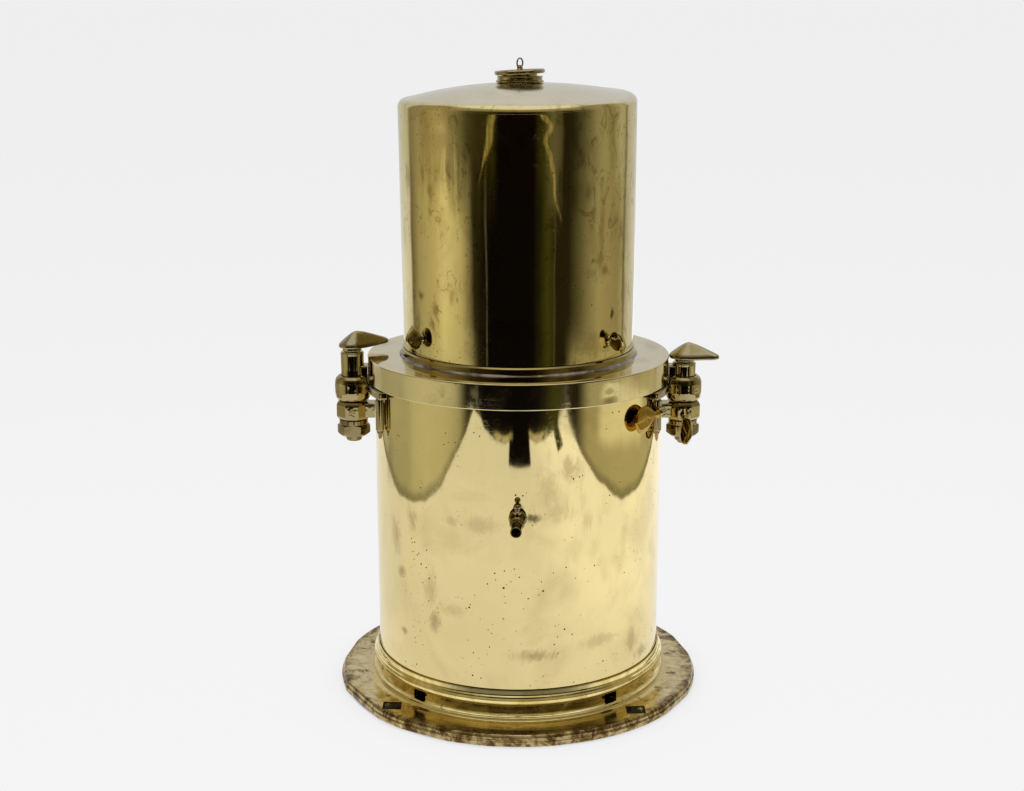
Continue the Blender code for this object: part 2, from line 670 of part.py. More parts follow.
def build_bearing(side, sign):
    """Slotted block shaped to the drum's inside, and the pivot it carries."""
    bearing = piece("gimbal_bearing_" + side,
                    block((sign * BEARING_X, 0, 194.0), BEARING_SIZE), AGED)
    wall = tool("bearing_wall_" + side, tube(DRUM_IN - GAP, 40.0, 180.0, 210.0))
    combine(bearing, wall, 'INTERSECT')
    cut(bearing, tool("bearing_slot_" + side,
                      block((sign * BEARING_X, 0, 202.0), BEARING_SLOT)))
    piece("gimbal_pivot_" + side,
          rod((sign * 88.8, 0, PIVOT_Z), (sign * 101.0, 0, PIVOT_Z), PIVOT_R),
          STEEL, origin=(sign * 95, 0, PIVOT_Z))


def build_gimbal_ring():
    ring = piece("gimbal_ring",
                 tube(RING_OUT, RING_IN, PIVOT_Z - RING_HALF, PIVOT_Z + RING_HALF),
                 AGED, origin=PIVOT_CENTRE)
    for axis, x, y in (("x", 99, 0), ("y", 0, 99)):
        cut(ring, tool("ring_hole_" + axis,
                       rod((-x, -y, PIVOT_Z), (x, y, PIVOT_Z), PIVOT_HOLE_R)))


for side, sign in SIDES:
    build_bearing(side, sign)
build_gimbal_ring()

# ---------------------------------------------------- bowl and its card

BOWL_R = 76.0
BOWL_IN = BOWL_R - 2
BOWL_Z0 = 150.0
BOWL_Z1 = 212.0
BOWL_FLOOR = BOWL_Z0 + 2.2
BOWL_PROFILE = [
    (0, BOWL_Z0), (58.0, BOWL_Z0), (71.0, 155.0), (BOWL_R, 167.0),
    (BOWL_R, BOWL_Z1), (BOWL_IN, BOWL_Z1), (BOWL_IN, 167.6), (69.4, 156.8),
    (57.4, BOWL_FLOOR), (0, BOWL_FLOOR)]
BEZEL_PROFILE = [(78.4, 212.4), (78.4, 214.6), (77.4, 215.5), (71.6, 215.5),
                 (70.4, 214.4), (70.4, 212.4)]
BOWL_GLASS_PROFILE = [(0, 208.8), (73.6, 208.8), (73.6, 211.9), (0, 211.9)]
CARD_PIVOT_PROFILE = [(0, 152.6), (7.0, 152.6), (7.0, 155.0), (2.4, 158.0),
                      (1.6, 184.0), (0.5, 190.4), (0, 190.6)]
BALLAST_PROFILE = [(0, 140.5), (26.0, 140.5), (29.0, 142.0), (29.0, 148.4),
                   (27.6, 149.6), (0, 149.6)]

# Parts that turn with the card
CARD_CENTRE = (0, 0, 193.8)
CARD_R = 66.0
CARD_CAP_PROFILE = [(0, 191.4), (2.6, 187.4), (5.6, 187.4), (5.6, 195.6),
                    (4.4, 197.2), (0, 197.8)]
FLOAT_PROFILE = [(6.0, 193.1), (24.0, 193.1), (24.0, 191.6), (15.0, 186.4), (6.0, 186.4)]
MAGNET_SIZE = (4.2, 62.0, 4.6)

# Name, shape, finish of the parts whose origin is the gimbal centre
for name, shape, look in (
        ("compass_bowl", solid_lathe(BOWL_PROFILE, 32), BOWL_BRASS),
        ("bowl_bezel", lathe(BEZEL_PROFILE, 32), AGED),
        ("bowl_glass", solid_lathe(BOWL_GLASS_PROFILE, 32), BOWL_GLASS),
        ("lubber_pin", upright(0, 72.6, 171.0, 208.3, 0.8, 8), STEEL),
        ("card_pivot", solid_lathe(CARD_PIVOT_PROFILE), STEEL),
        ("bowl_ballast", solid_lathe(BALLAST_PROFILE, 24), BALLAST)):
    piece(name, shape, look, origin=PIVOT_CENTRE)

for side, sign in (("front", -1.0), ("back", 1.0)):
    piece("bowl_pivot_" + side,
          rod((0, sign * (BOWL_R + 0.4), PIVOT_Z), (0, sign * 93.4, PIVOT_Z), PIVOT_R),
          STEEL, origin=(0, sign * 85, PIVOT_Z))

piece("compass_card", tube(CARD_R, 6.2, 193.5, 194.1, 32), CARD_WHITE, origin=CARD_CENTRE)
piece("card_cap", solid_lathe(CARD_CAP_PROFILE), AGED, origin=CARD_CENTRE)
piece("card_float", lathe(FLOAT_PROFILE, 16), FLOAT_BRASS, origin=CARD_CENTRE)
for side, sign in SIDES:
    piece("card_magnet_" + side, block((sign * 11.0, 0, 183.7), MAGNET_SIZE), STEEL,
          origin=CARD_CENTRE)
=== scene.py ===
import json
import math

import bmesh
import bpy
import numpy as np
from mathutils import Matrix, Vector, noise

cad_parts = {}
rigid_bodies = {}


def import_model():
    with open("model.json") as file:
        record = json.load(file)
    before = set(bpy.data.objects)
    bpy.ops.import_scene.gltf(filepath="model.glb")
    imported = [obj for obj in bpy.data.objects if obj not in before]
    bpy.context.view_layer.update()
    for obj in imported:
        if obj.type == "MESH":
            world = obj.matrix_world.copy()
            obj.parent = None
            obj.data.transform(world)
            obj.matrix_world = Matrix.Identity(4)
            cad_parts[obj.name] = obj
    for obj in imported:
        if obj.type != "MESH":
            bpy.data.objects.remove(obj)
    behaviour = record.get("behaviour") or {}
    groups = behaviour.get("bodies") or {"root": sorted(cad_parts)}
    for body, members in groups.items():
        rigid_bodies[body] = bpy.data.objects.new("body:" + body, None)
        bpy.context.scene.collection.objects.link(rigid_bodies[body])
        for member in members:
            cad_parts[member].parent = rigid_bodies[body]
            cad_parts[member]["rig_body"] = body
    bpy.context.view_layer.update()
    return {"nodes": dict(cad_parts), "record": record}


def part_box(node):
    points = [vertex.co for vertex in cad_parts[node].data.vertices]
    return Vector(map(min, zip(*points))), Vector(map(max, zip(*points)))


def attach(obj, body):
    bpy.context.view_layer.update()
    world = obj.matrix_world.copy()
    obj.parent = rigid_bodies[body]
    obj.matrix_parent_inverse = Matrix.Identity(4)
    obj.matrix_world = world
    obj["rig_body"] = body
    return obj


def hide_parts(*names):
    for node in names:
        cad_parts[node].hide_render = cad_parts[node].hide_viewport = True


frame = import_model()

# A brass binnacle compass: flanged base, drum, lid with two side catches, domed
# hood with a vent, and a gimballed compass bowl inside.  It stands on z = 0
# round the Z axis; -Y is the front, +X the right, and the window faces +Y.
# Azimuths are degrees from -Y towards +X.  Shapes are drawn in millimetres
# round the CAD nodes' boxes and scaled to metres by piece(); materials and the
# studio work in metres.

MM = 0.001
SLOT = {row.get("node") or row.get("name"): row.get("material_slot")
        for row in frame["record"]["subparts"]}
SIDES = (("left", -1.0), ("right", 1.0))


def box(node):
    low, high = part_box(node)
    return low * 1000.0, high * 1000.0


# ------------------------------------------------------------ shader networks

class Net:
    """Adds nodes to one shader tree."""

    def __init__(self, tree):
        self.tree = tree

    def put(self, socket, value):
        if isinstance(value, Signal):
            self.tree.links.new(value.socket, socket)
        elif isinstance(value, tuple) and len(value) == 3 and socket.type == 'RGBA':
            socket.default_value = (*value, 1.0)
        else:
            socket.default_value = value

    def add(self, kind, inputs=(), **settings):
        """New node; inputs maps socket names or indices to values."""
        node = self.tree.nodes.new(kind)
        for key, value in settings.items():
            setattr(node, key, value)
        for key, value in dict(inputs).items():
            self.put(node.inputs[key], value)
        return node

    def get(self, kind, output=0, inputs=(), **settings):
        """Signal from one output of a new node."""
        return Signal(self, self.add(kind, inputs, **settings).outputs[output])

    def math(self, operation, first, second=0.0, third=0.0):
        return self.get('ShaderNodeMath', 0, enumerate((first, second, third)),
                        operation=operation)

    def mix(self, factor, first, second, blend_type='MIX'):
        return self.get('ShaderNodeMix', 2, {0: factor, 6: first, 7: second},
                        data_type='RGBA', blend_type=blend_type, clamp_factor=True)


class Signal:
    """A node's output; arithmetic and methods on it add the nodes they need."""

    def __init__(self, net, socket):
        self.net = net
        self.socket = socket

    def __add__(self, other):
        return self.net.math('ADD', self, other)

    def __sub__(self, other):
        return self.net.math('SUBTRACT', self, other)

    def __rsub__(self, other):
        return self.net.math('SUBTRACT', other, self)

    def __mul__(self, other):
        return self.net.math('MULTIPLY', self, other)

    def __truediv__(self, other):
        return self.net.math('DIVIDE', self, other)

    def max(self, other):
        return self.net.math('MAXIMUM', self, other)

    def sqrt(self):
        return self.net.math('SQRT', self)

    def abs(self):
        return self.net.math('ABSOLUTE', self)

    def step(self, start, end, low=0.0, high=1.0):
        """Smooth step from low at start to high at end."""
        return self.net.get('ShaderNodeMapRange', 0, enumerate((self, start, end, low, high)),
                            interpolation_type='SMOOTHSTEP')

    def mix(self, first, second):
        """First colour where this is 0, second where it is 1."""
        return self.net.mix(self, first, second)

    def blend(self, first, second):
        """First number where this is 0, second where it is 1."""
        return self.net.get('ShaderNodeMix', 0, {0: self, 2: first, 3: second},
                            data_type='FLOAT', clamp_factor=True)

    def tinted(self, other):
        """This colour multiplied by another."""
        return self.net.mix(1.0, self, other, 'MULTIPLY')

    def ramp(self, stops):
        """Colour ramp over (position, colour) stops."""
        node = self.net.add('ShaderNodeValToRGB', {0: self})
        elements = node.color_ramp.elements
        while len(elements) > 1:
            elements.remove(elements[-1])
        elements[0].position = stops[0][0]
        elements[0].color = (*stops[0][1], 1.0)
        for position, colour in stops[1:]:
            elements.new(position).color = (*colour, 1.0)
        return Signal(self.net, node.outputs[0])

    def noise(self, scale, detail=2.0, rough=0.5, distort=0.0):
        return self.net.get('ShaderNodeTexNoise', 'Fac', {
            'Vector': self, 'Scale': scale, 'Detail': detail, 'Roughness': rough,
            'Distortion': distort})

    def cells(self, scale):
        """Distance to the nearest of scattered points."""
        return self.net.get('ShaderNodeTexVoronoi', 'Distance',
                            {'Vector': self, 'Scale': scale, 'Randomness': 1.0}, feature='F1')

    def remap(self, scale=(1, 1, 1), loc=(0, 0, 0), rot=(0, 0, 0)):
        return self.net.get('ShaderNodeMapping', 0, {
            'Vector': self, 'Location': loc, 'Rotation': rot, 'Scale': scale})

    def split(self):
        node = self.net.add('ShaderNodeSeparateXYZ', {0: self})
        return [Signal(self.net, output) for output in node.outputs]


def clear_net(owner):
    owner.use_nodes = True
    owner.node_tree.nodes.clear()
    return Net(owner.node_tree)


def new_material(name):
    """Material, its empty net and the object coordinate."""
    material = bpy.data.materials.new(name)
    net = clear_net(material)
    return material, net, net.get('ShaderNodeTexCoord', 'Object')


def principled(net, colour, rough, metallic, bump=0.0, height=None, distance=0.0003):
    """Principled surface, with a bump when its strength is not 0."""
    bsdf = net.add('ShaderNodeBsdfPrincipled',
                   {'Base Color': colour, 'Metallic': metallic, 'Roughness': rough})
    if bump:
        normal = net.get('ShaderNodeBump', 0, {
            'Strength': bump, 'Distance': distance, 'Height': height})
        net.put(bsdf.inputs['Normal'], normal)
    net.add('ShaderNodeOutputMaterial', {0: Signal(net, bsdf.outputs[0])})
    return bsdf


def scaled(colour, factor):
    return tuple(channel * factor for channel in colour)


# ------------------------------------------------------------ brass

# dark colour of pits, also used for smuts, some of which are painted shadows and painted
# reflections beside fittings
PIT_AND_SHADE_COLOUR = (0.05, 0.032, 0.012)


def spot(coord, centre, radii, soft, wild=None):
    """Soft blob of 1 at a place on the object, 0 away from it; sizes in mm."""
    total = None
    for axis, middle, radius in zip(coord.split(), centre, radii):
        part = (axis - middle * MM) * (1000.0 / radius)
        part = part * part
        total = part if total is None else total + part
    distance = total.sqrt()
    if wild is not None:
        distance = distance + (wild - 0.5) * 3.0
    return distance.step(1.0 + soft * 0.5, 1.0 - soft)


def round_spots(radius, items):
    """Spots on a cylinder from (azimuth, height, half width, half height, strength)."""
    spots = []
    for azimuth, z, width, height, strength in items:
        angle = math.radians(azimuth)
        centre = (radius * math.sin(angle), -radius * math.cos(angle), z)
        spots.append((centre, (width, width, height), strength))
    return spots


def shifted(coord, seed):
    return coord.remap(loc=(seed * 0.37, -seed * 0.21, seed * 0.53))


def fine_noise(at):
    return at.noise(190.0, detail=4.0, rough=0.65, distort=0.3)


def pitting(coord, at, amount, scale, extra=()):
    """Sparse dots, in patches and wherever an extra spot allows them."""
    cell = at.cells(scale)
    patch = at.remap(loc=(3.1, 1.7, 0.4)).noise(33.0)
    allow = patch.step(0.62 - 0.16 * amount, 0.74 - 0.16 * amount)
    for centre, radii, strength in extra:
        allow = allow.max(spot(coord, centre, radii, soft=0.8) * strength)
    size = at.net.math('MULTIPLY_ADD', at.noise(scale * 0.9, detail=0.0), 0.26, 0.0)
    return (size - cell).step(0.0, 0.03) * allow


def scratches(at, strength):
    """Hairlines running three ways, each from a (rotation, stretch) of the noise."""
    lines = None
    for turn, stretch in (((0.3, 0.2, 0.5), (9, 420, 30)), ((1.1, -0.4, 1.9), (380, 7, 26)),
                          ((-0.5, 0.9, -0.8), (12, 300, 300))):
        field = at.remap(scale=stretch, rot=turn).noise(1.0, distort=0.25)
        field = (field - 0.5).abs().step(0.006, 0.0)
        lines = field if lines is None else lines.max(field)
    gate = at.noise(31.0, detail=3.0, rough=0.6, distort=0.4).step(0.46, 0.62)
    return lines * gate * strength


def cast_lumps(at):
    return at.noise(640.0, detail=3.0, rough=0.6, distort=0.2)


def relief_height(at, fine, pits, lines, relief, lumps=None, grain=0.0):
    """Bump height: fine noise, sunk pits and scratches, and a cast grain."""
    height = (fine - 0.5) * relief - pits * 1.6 - lines * 0.5
    if grain:
        coarse = at.noise(130.0, detail=4.0, rough=0.6, distort=0.4)
        height = height + lumps * grain + coarse * (grain * 1.5)
    return height


def brass(name, base, stain, seed, rough=0.04, rough_stain=0.018, cloud=0.7,
          cloud_scale=60.0, pits=0.3, pit_scale=300.0, scratch=0.4, grain=0.0, shade=0.16,
          green=0.0, bump=0.0, relief=0.25, spots=(), smuts_and_shade=(), extra_pits=(), zone=None):
    """Brass with a drifting tint, tarnish clouds, pits and hairline scratches.
    zone may change colour and roughness by place.  The defaults suit small fittings."""
    material, net, coord = new_material(name)
    at = shifted(coord, seed)
    big = at.noise(9.0, detail=3.0, rough=0.55, distort=0.8)
    middle = at.noise(cloud_scale, detail=6.0, rough=0.62, distort=0.9)
    fine = fine_noise(at)

    # broad drift of tint
    colour = big.step(0.32, 0.68).mix(scaled(base, 1.0 - shade),
                                      scaled(base, 1.0 + shade * 0.35))
    if green:
        patches = at.noise(15.0, detail=3.0, distort=0.5).step(0.5, 0.7)
        colour = (patches * green).mix(colour, (base[0] * 0.80, base[1] * 0.90, base[2] * 0.62))
    # tarnish clouds and placed stains
    clouds = (big * 0.55 + middle * 0.75).step(0.66, 0.86) * cloud
    if spots:
        wild = at.remap(scale=(1.0, 1.0, 0.6)).noise(105.0, detail=6.0, rough=0.7, distort=1.4)
    for centre, radii, strength in spots:
        clouds = clouds.max(spot(coord, centre, radii, 0.9, wild) * strength)
    colour = clouds.mix(colour, stain)
    # dark smuts: real smuts in places, painted shadows and painted reflections beside fittings
    for centre, radii, strength in smuts_and_shade:
        ragged = at.noise(150.0, detail=5.0, rough=0.65, distort=0.6)
        smut_and_shade = spot(coord, centre, radii, 0.8, ragged) * strength
        colour = smut_and_shade.mix(colour, PIT_AND_SHADE_COLOUR)
    # fine speckle, pits and scratches
    colour = (fine.step(0.60, 0.74) * (0.35 * cloud + 0.06)).mix(colour, stain)
    dots = pitting(coord, at, pits, pit_scale, extra_pits)
    colour = dots.mix(colour, PIT_AND_SHADE_COLOUR)
    lines = scratches(at, scratch)
    colour = (lines * 0.35).mix(colour, scaled(base, 0.6))
    wear = clouds.max(dots).max(lines * 0.6)
    lumps = None
    if grain:
        lumps = cast_lumps(at)
        colour = (lumps.step(0.5, 0.8) * 0.3).mix(colour, scaled(base, 0.55))
    roughness = wear.blend(rough, rough + rough_stain) + (fine - 0.5) * 0.03
    if zone:
        colour, roughness = zone(coord, at, colour, roughness)
    height = relief_height(at, fine, dots, lines, relief, lumps, grain) if bump else None
    principled(net, colour, roughness.max(0.03), 1.0, bump, height)
    return material


def hood_zone(coord, at, colour, roughness):
    """The dome above the shoulder is paler and rougher; its shoulder and the wall stay bright.
    """
    up = coord.split()[2].step(0.4285, 0.4315)
    haze = at.noise(21.0, detail=4.0, rough=0.6, distort=0.8)
    satin = haze.step(0.4, 0.7).mix((0.84, 0.775, 0.60), (0.76, 0.68, 0.47))
    # brown wisps, stretched up the wall
    wisp = at.remap(scale=(1.0, 1.0, 0.55)).noise(62.0, detail=6.0, rough=0.72, distort=2.6)
    dull = at.remap(loc=(0.7, 0.2, 0.9), scale=(1.0, 1.0, 0.4)).noise(
        34.0, detail=4.0, rough=0.6, distort=1.2)
    wisp = wisp.step(0.53, 0.62) * dull.step(0.42, 0.54)
    colour = (wisp * 0.60).mix(colour, (0.30, 0.20, 0.07))
    colour = (dull.step(0.50, 0.66) * 0.36).mix(colour, (0.46, 0.36, 0.16))
    return ((up * 0.75).mix(colour, satin),
            up.blend(roughness, haze.step(0.3, 0.7, low=0.12, high=0.19)))


def cast_patina():
    """Rubbed gold round the plinth, mottled brown patina out on the rim."""
    material, net, coord = new_material("cast_patina")
    at = shifted(coord, seed=4.0)
    x, y, z = coord.split()
    radius = (x * x + y * y).sqrt()
    mottle = at.noise(40.0, detail=6.0, rough=0.62, distort=1.4)
    grit = at.noise(120.0, detail=5.0, rough=0.66, distort=0.8)
    # the patina starts nearer the axis in front
    edge = radius + (mottle - 0.5) * 0.008 - y.step(-0.085, -0.108) * 0.0125
    outer = edge.step(0.1100, 0.1150)
    rim = (radius + (mottle - 0.5) * 0.040).step(0.1240, 0.1325)
    blot = (mottle * 0.66 + grit * 0.34).step(0.52, 0.60)
    blot = (blot * 0.85).max(rim * grit.step(0.36, 0.58, low=0.5))
    pale = grit.step(0.38, 0.64).mix((0.78, 0.65, 0.34), (0.54, 0.41, 0.17))
    brown = grit.step(0.4, 0.66).mix((0.22, 0.135, 0.045), (0.085, 0.048, 0.017))
    patina = blot.mix(pale, brown)
    gold = mottle.step(0.36, 0.66).mix((0.98, 0.83, 0.40), (0.74, 0.58, 0.22))
    gold = (radius.step(0.1085, 0.1105) * mottle.step(0.62, 0.42) * 0.5).mix(
        gold, (0.40, 0.29, 0.085))
    gold = (grit.step(0.60, 0.70) * 0.5).mix(gold, (0.14, 0.085, 0.03))
    # painted shade in the crease at the drum's foot and on the wall of the plinth, in front
    foot_crease_shade = z.step(0.0258, 0.0263) * y.step(-0.088, -0.103)
    gold = (foot_crease_shade * 0.85).mix(gold, (0.075, 0.072, 0.03))
    wall = z.step(0.0128, 0.0134) * z.step(0.0190, 0.0184) * y.step(-0.09, -0.104)
    gold = (wall * mottle.step(0.34, 0.56, low=0.2, high=0.7)).mix(gold, (0.22, 0.155, 0.04))
    inner = radius.step(0.1085, 0.1105).blend(grit.step(0.4, 0.7, low=0.05, high=0.12), 0.20)
    roughness = outer.blend(inner, blot.blend(0.16, 0.28))
    height = relief_height(at, fine_noise(at), pitting(coord, at, amount=0.9, scale=190.0),
                           scratches(at, strength=0.4), relief=0.25,
                           lumps=cast_lumps(at), grain=0.06)
    principled(net, outer.mix(gold, patina), roughness.max(0.03), 1.0, 0.16, height)
    return material


def plain(name, base, second, rough, metallic, scale, seed, bump, fleck=0.3):
    """Two-tone procedural finish for steel, rubber, lead and enamel."""
    material, net, coord = new_material(name)
    at = coord.remap(loc=(seed, seed * 0.3, -seed))
    patches = at.noise(scale, detail=5.0, rough=0.6, distort=0.5)
    specks = at.noise(scale * 8.0, detail=3.0, rough=0.6)
    colour = patches.step(0.35, 0.7).mix(base, second)
    colour = (specks.step(0.6, 0.75) * fleck).mix(colour, scaled(second, 0.5))
    principled(net, colour, (patches - 0.5) * 0.2 + rough, metallic, bump, specks, 0.0002)
    return material


def clear_glass():
    material, net, coord = new_material("clear_glass")
    smear = coord.noise(26.0, detail=5.0, rough=0.6, distort=1.0)
    tint = (0.93, 0.97, 0.95)
    bsdf = principled(net, smear.step(0.4, 0.7).mix(tint, scaled(tint, 0.94)),
                      smear.step(0.55, 0.8, low=0.01, high=0.07), metallic=0.0,
                      bump=0.03, height=coord.noise(14.0, distort=0.3), distance=0.0002)
    bsdf.inputs['Transmission Weight'].default_value = 1.0
    bsdf.inputs['IOR'].default_value = 1.47
    return material


# Stains, and dark spots of smut and painted shade: (azimuth, height, half width, half height,
# strength)
DRUM_STAINS = (
    (-33.5, 75, 5.5, 7, 0.85), (7.4, 54.8, 19, 5.0, 0.80), (-52.2, 103, 5, 4, 0.85),
    (-51.5, 58.4, 4.5, 2.6, 0.9), (19.3, 189, 7, 9, 0.65), (-56.2, 128, 6, 14, 0.7),
    (-45.3, 144, 5, 11, 0.6), (-14.6, 149, 13, 6, 0.48), (15, 158, 13, 8, 0.5),
    (57.4, 39, 9, 5, 0.8), (51, 51, 7, 9, 0.6), (-36, 96, 6, 13, 0.5), (11, 171, 8, 16, 0.5),
    (-26, 150, 7, 4, 0.45), (27, 150, 4, 8, 0.4), (-27, 85, 14, 5, 0.36), (33, 60, 18, 5, 0.42),
    (-60, 180, 6, 18, 0.45), (100, 120, 14, 20, 0.4), (150, 90, 20, 16, 0.4),
    (-150, 160, 22, 12, 0.4), (-105, 80, 14, 16, 0.4), (180, 50, 24, 8, 0.5))
# painted dark reflection of the cock and its key on the drum, beside and above the cock
COCK_PAINTED_REFLECTION = ((5.6, 155, 6.0, 3.6, 0.8), (0.6, 163, 2.5, 3.0, 0.6))
HOOD_STAINS = (
    (37.1, 266, 9, 10, 0.57), (50.7, 287, 2.6, 4.5, 0.95), (-45.4, 372, 3.0, 6, 0.81),
    (-51, 384, 2.4, 5, 0.74), (-54.1, 299, 4.0, 4, 0.81), (-42.8, 290, 3.6, 5, 0.81),
    (-46, 281, 3.0, 4, 0.68), (-33, 301, 2.6, 6, 0.54), (41.5, 327, 3.5, 6, 0.74),
    (45, 318, 3.0, 4, 0.81), (58, 343, 3.0, 9, 0.54), (34, 372, 3.0, 6, 0.54),
    (-72, 341, 5, 14, 0.47), (-65, 377, 4, 9, 0.54), (-57, 281, 4, 7, 0.54),
    (42.7, 350, 3.2, 22, 0.38), (-38, 345, 4.0, 24, 0.30), (62, 300, 4, 14, 0.47),
    (110, 330, 12, 20, 0.54), (150, 285, 12, 8, 0.54), (-140, 350, 14, 18, 0.54),
    (-110, 300, 12, 16, 0.54))
# the first two are painted shadows beside the left and right thumb screws; the last two are dark
# smuts
HOOD_SMUTS_AND_SHADOWS = ((46.5, 268.5, 3.5, 6.0, 0.45), (-51.5, 268.5, 3.5, 6.0, 0.45),
              (50.7, 287, 1.6, 3.0, 0.7), (-53.5, 299, 2.0, 2.0, 0.5))
HOOD_PITS = ((37.1, 266, 12, 12, 1.0), (44, 330, 8, 26, 0.95), (-50, 285, 10, 14, 0.95))
# Stains on the lid: (centre, radii, strength)
LID_STAINS = (
    ((-104.0, 30.0, 249.0), (10, 12, 3), 0.7), ((80.0, -74.0, 246.0), (7, 7, 3), 0.55),
    ((-30.0, -106.0, 243.0), (4, 4, 4), 0.8), ((99.0, 20.0, 249.0), (6, 18, 3), 0.5),
    ((-70.0, -60.0, 249.0), (9, 8, 3), 0.5), ((88.0, -30.0, 249.0), (6, 9, 3), 0.5))
DRUM_FACE, HOOD_FACE = 105.0, 83.5      # radii of the faces the stains lie on

DRUM_BRASS = brass(
    "drum_polish", (0.80, 0.668, 0.330), (0.42, 0.315, 0.145), seed=1.0, rough=0.035,
    rough_stain=0.10, cloud=0.32, cloud_scale=15.0, pits=0.8, scratch=0.16, shade=0.08,
    bump=0.05, pit_scale=260.0, relief=0.1, spots=round_spots(DRUM_FACE, DRUM_STAINS),
    smuts_and_shade=round_spots(DRUM_FACE, COCK_PAINTED_REFLECTION))
LID_BRASS = brass(
    "lid_polish", (0.78, 0.67, 0.38), (0.42, 0.33, 0.17), seed=2.0, rough=0.045,
    rough_stain=0.12, cloud=0.40, cloud_scale=52.0, pits=0.5, scratch=0.35, shade=0.08,
    bump=0.07, relief=0.10, pit_scale=230.0, spots=LID_STAINS)
HOOD_BRASS = brass(
    "hood_polish", (0.79, 0.665, 0.325), (0.34, 0.225, 0.08), seed=3.0, rough=0.03,
    rough_stain=0.13, cloud=0.34, cloud_scale=44.0, pits=0.8, scratch=0.25, shade=0.07,
    bump=0.06, relief=0.1, pit_scale=330.0, green=0.25, zone=hood_zone,
    smuts_and_shade=round_spots(HOOD_FACE, HOOD_SMUTS_AND_SHADOWS), spots=round_spots(HOOD_FACE, HOOD_STAINS),
    extra_pits=round_spots(HOOD_FACE, HOOD_PITS))
CAST_BRASS = cast_patina()
AGED_BRASS = brass("worn_brass", (0.58, 0.48, 0.25), (0.24, 0.165, 0.065), seed=5.0,
                   cloud=0.6, pits=0.4, scratch=0.3, pit_scale=260.0)
CATCH_BRASS = brass("catch_brass", (0.45, 0.37, 0.18), (0.13, 0.09, 0.04), seed=5.5,
                    cloud_scale=46.0, pits=0.5, scratch=0.3, shade=0.2)
VENT_BRASS = brass("vent_brass", (0.42, 0.35, 0.18), (0.10, 0.075, 0.035), seed=5.2,
                   cloud=0.8, cloud_scale=70.0, scratch=0.2, shade=0.2)
GRIP_BRASS = brass("grip_satin", (0.43, 0.37, 0.225), (0.26, 0.20, 0.11), seed=5.8, rough=0.15,
                   rough_stain=0.06, cloud=0.5, cloud_scale=40.0, pits=0.4, scratch=0.6,
                   shade=0.12)
DARK_BRASS = brass("dark_brass", (0.31, 0.245, 0.12), (0.09, 0.06, 0.028), seed=6.0,
                   pits=0.5, scratch=0.3, shade=0.2)
GOLD_BRASS = brass("lacquered_brass", (0.46, 0.28, 0.04), (0.33, 0.185, 0.04), seed=7.0)
HOOD_SCREW_BRASS = brass("hood_screw_brass", (0.52, 0.41, 0.15), (0.22, 0.145, 0.045),
                         seed=7.5, cloud_scale=70.0)
CLAMP_SCREW_BRASS = brass("clamp_screw_brass", (0.62, 0.49, 0.24), (0.30, 0.20, 0.08),
                          seed=7.8, cloud_scale=70.0)
GIMBAL_BRASS = brass("gimbal_brass", (0.62, 0.50, 0.25), (0.34, 0.24, 0.10), seed=8.0,
                     rough=0.24, rough_stain=0.2, cloud=0.5, cloud_scale=40.0, pits=0.4,
                     pit_scale=150.0, scratch=0.6, grain=0.15, shade=0.14, bump=0.25)
COLLAR_BRASS = brass("collar_brass", (0.46, 0.37, 0.155), (0.24, 0.165, 0.06), seed=9.0,
                     rough=0.10, rough_stain=0.15, cloud=0.6, cloud_scale=50.0, pits=0.6,
                     shade=0.15, bump=0.12, pit_scale=240.0)
STEEL = plain("dull_steel", (0.46, 0.45, 0.42), (0.30, 0.28, 0.25), rough=0.30,
              metallic=1.0, scale=220.0, seed=1.0, bump=0.3)
LEAD = plain("lead_grey", (0.30, 0.30, 0.31), (0.20, 0.20, 0.22), rough=0.5,
             metallic=0.7, scale=60.0, seed=2.0, bump=0.5)
SOLDER = plain("solder", (0.40, 0.37, 0.35), (0.09, 0.065, 0.05), rough=0.34,
               metallic=1.0, scale=50.0, seed=4.0, bump=0.6, fleck=0.7)
RUBBER = plain("gasket_rubber", (0.020, 0.020, 0.020), (0.045, 0.043, 0.040), rough=0.72,
               metallic=0.0, scale=90.0, seed=3.0, bump=0.4)
ENAMEL = plain("card_enamel", (0.80, 0.77, 0.66), (0.70, 0.66, 0.53), rough=0.5,
               metallic=0.0, scale=24.0, seed=5.0, bump=0.1, fleck=0.1)
INK = plain("card_ink", (0.012, 0.012, 0.015), (0.03, 0.028, 0.026), rough=0.5,
            metallic=0.0, scale=90.0, seed=6.0, bump=0.1, fleck=0.1)
GLASS = clear_glass()


# ------------------------------------------------------------ mesh helpers

def link(mesh):
    ob = bpy.data.objects.new("part", mesh)
    bpy.context.collection.objects.link(ob)
    return ob


def from_bmesh(bm, mesh):
    bm.to_mesh(mesh)
    bm.free()
    return link(mesh)


def mesh_object(verts, faces, matrix=None):
    """Object in millimetres with outward faces."""
    mesh = bpy.data.meshes.new("part")
    mesh.from_pydata([tuple(v) for v in verts], [], [tuple(f) for f in faces])
    bm = bmesh.new()
    bm.from_mesh(mesh)
    bmesh.ops.remove_doubles(bm, verts=bm.verts, dist=0.0004)
    bmesh.ops.recalc_face_normals(bm, faces=bm.faces)
    if matrix is not None:
        bm.transform(matrix)
    return from_bmesh(bm, mesh)


def evaluated_mesh(ob):
    depsgraph = bpy.context.evaluated_depsgraph_get()
    depsgraph.update()
    return bpy.data.meshes.new_from_object(ob.evaluated_get(depsgraph))


def bake(ob):
    """Replace an object's mesh by what its modifiers make of it."""
    mesh = evaluated_mesh(ob)
    ob.modifiers.clear()
    old = ob.data
    ob.data = mesh
    bpy.data.meshes.remove(old)


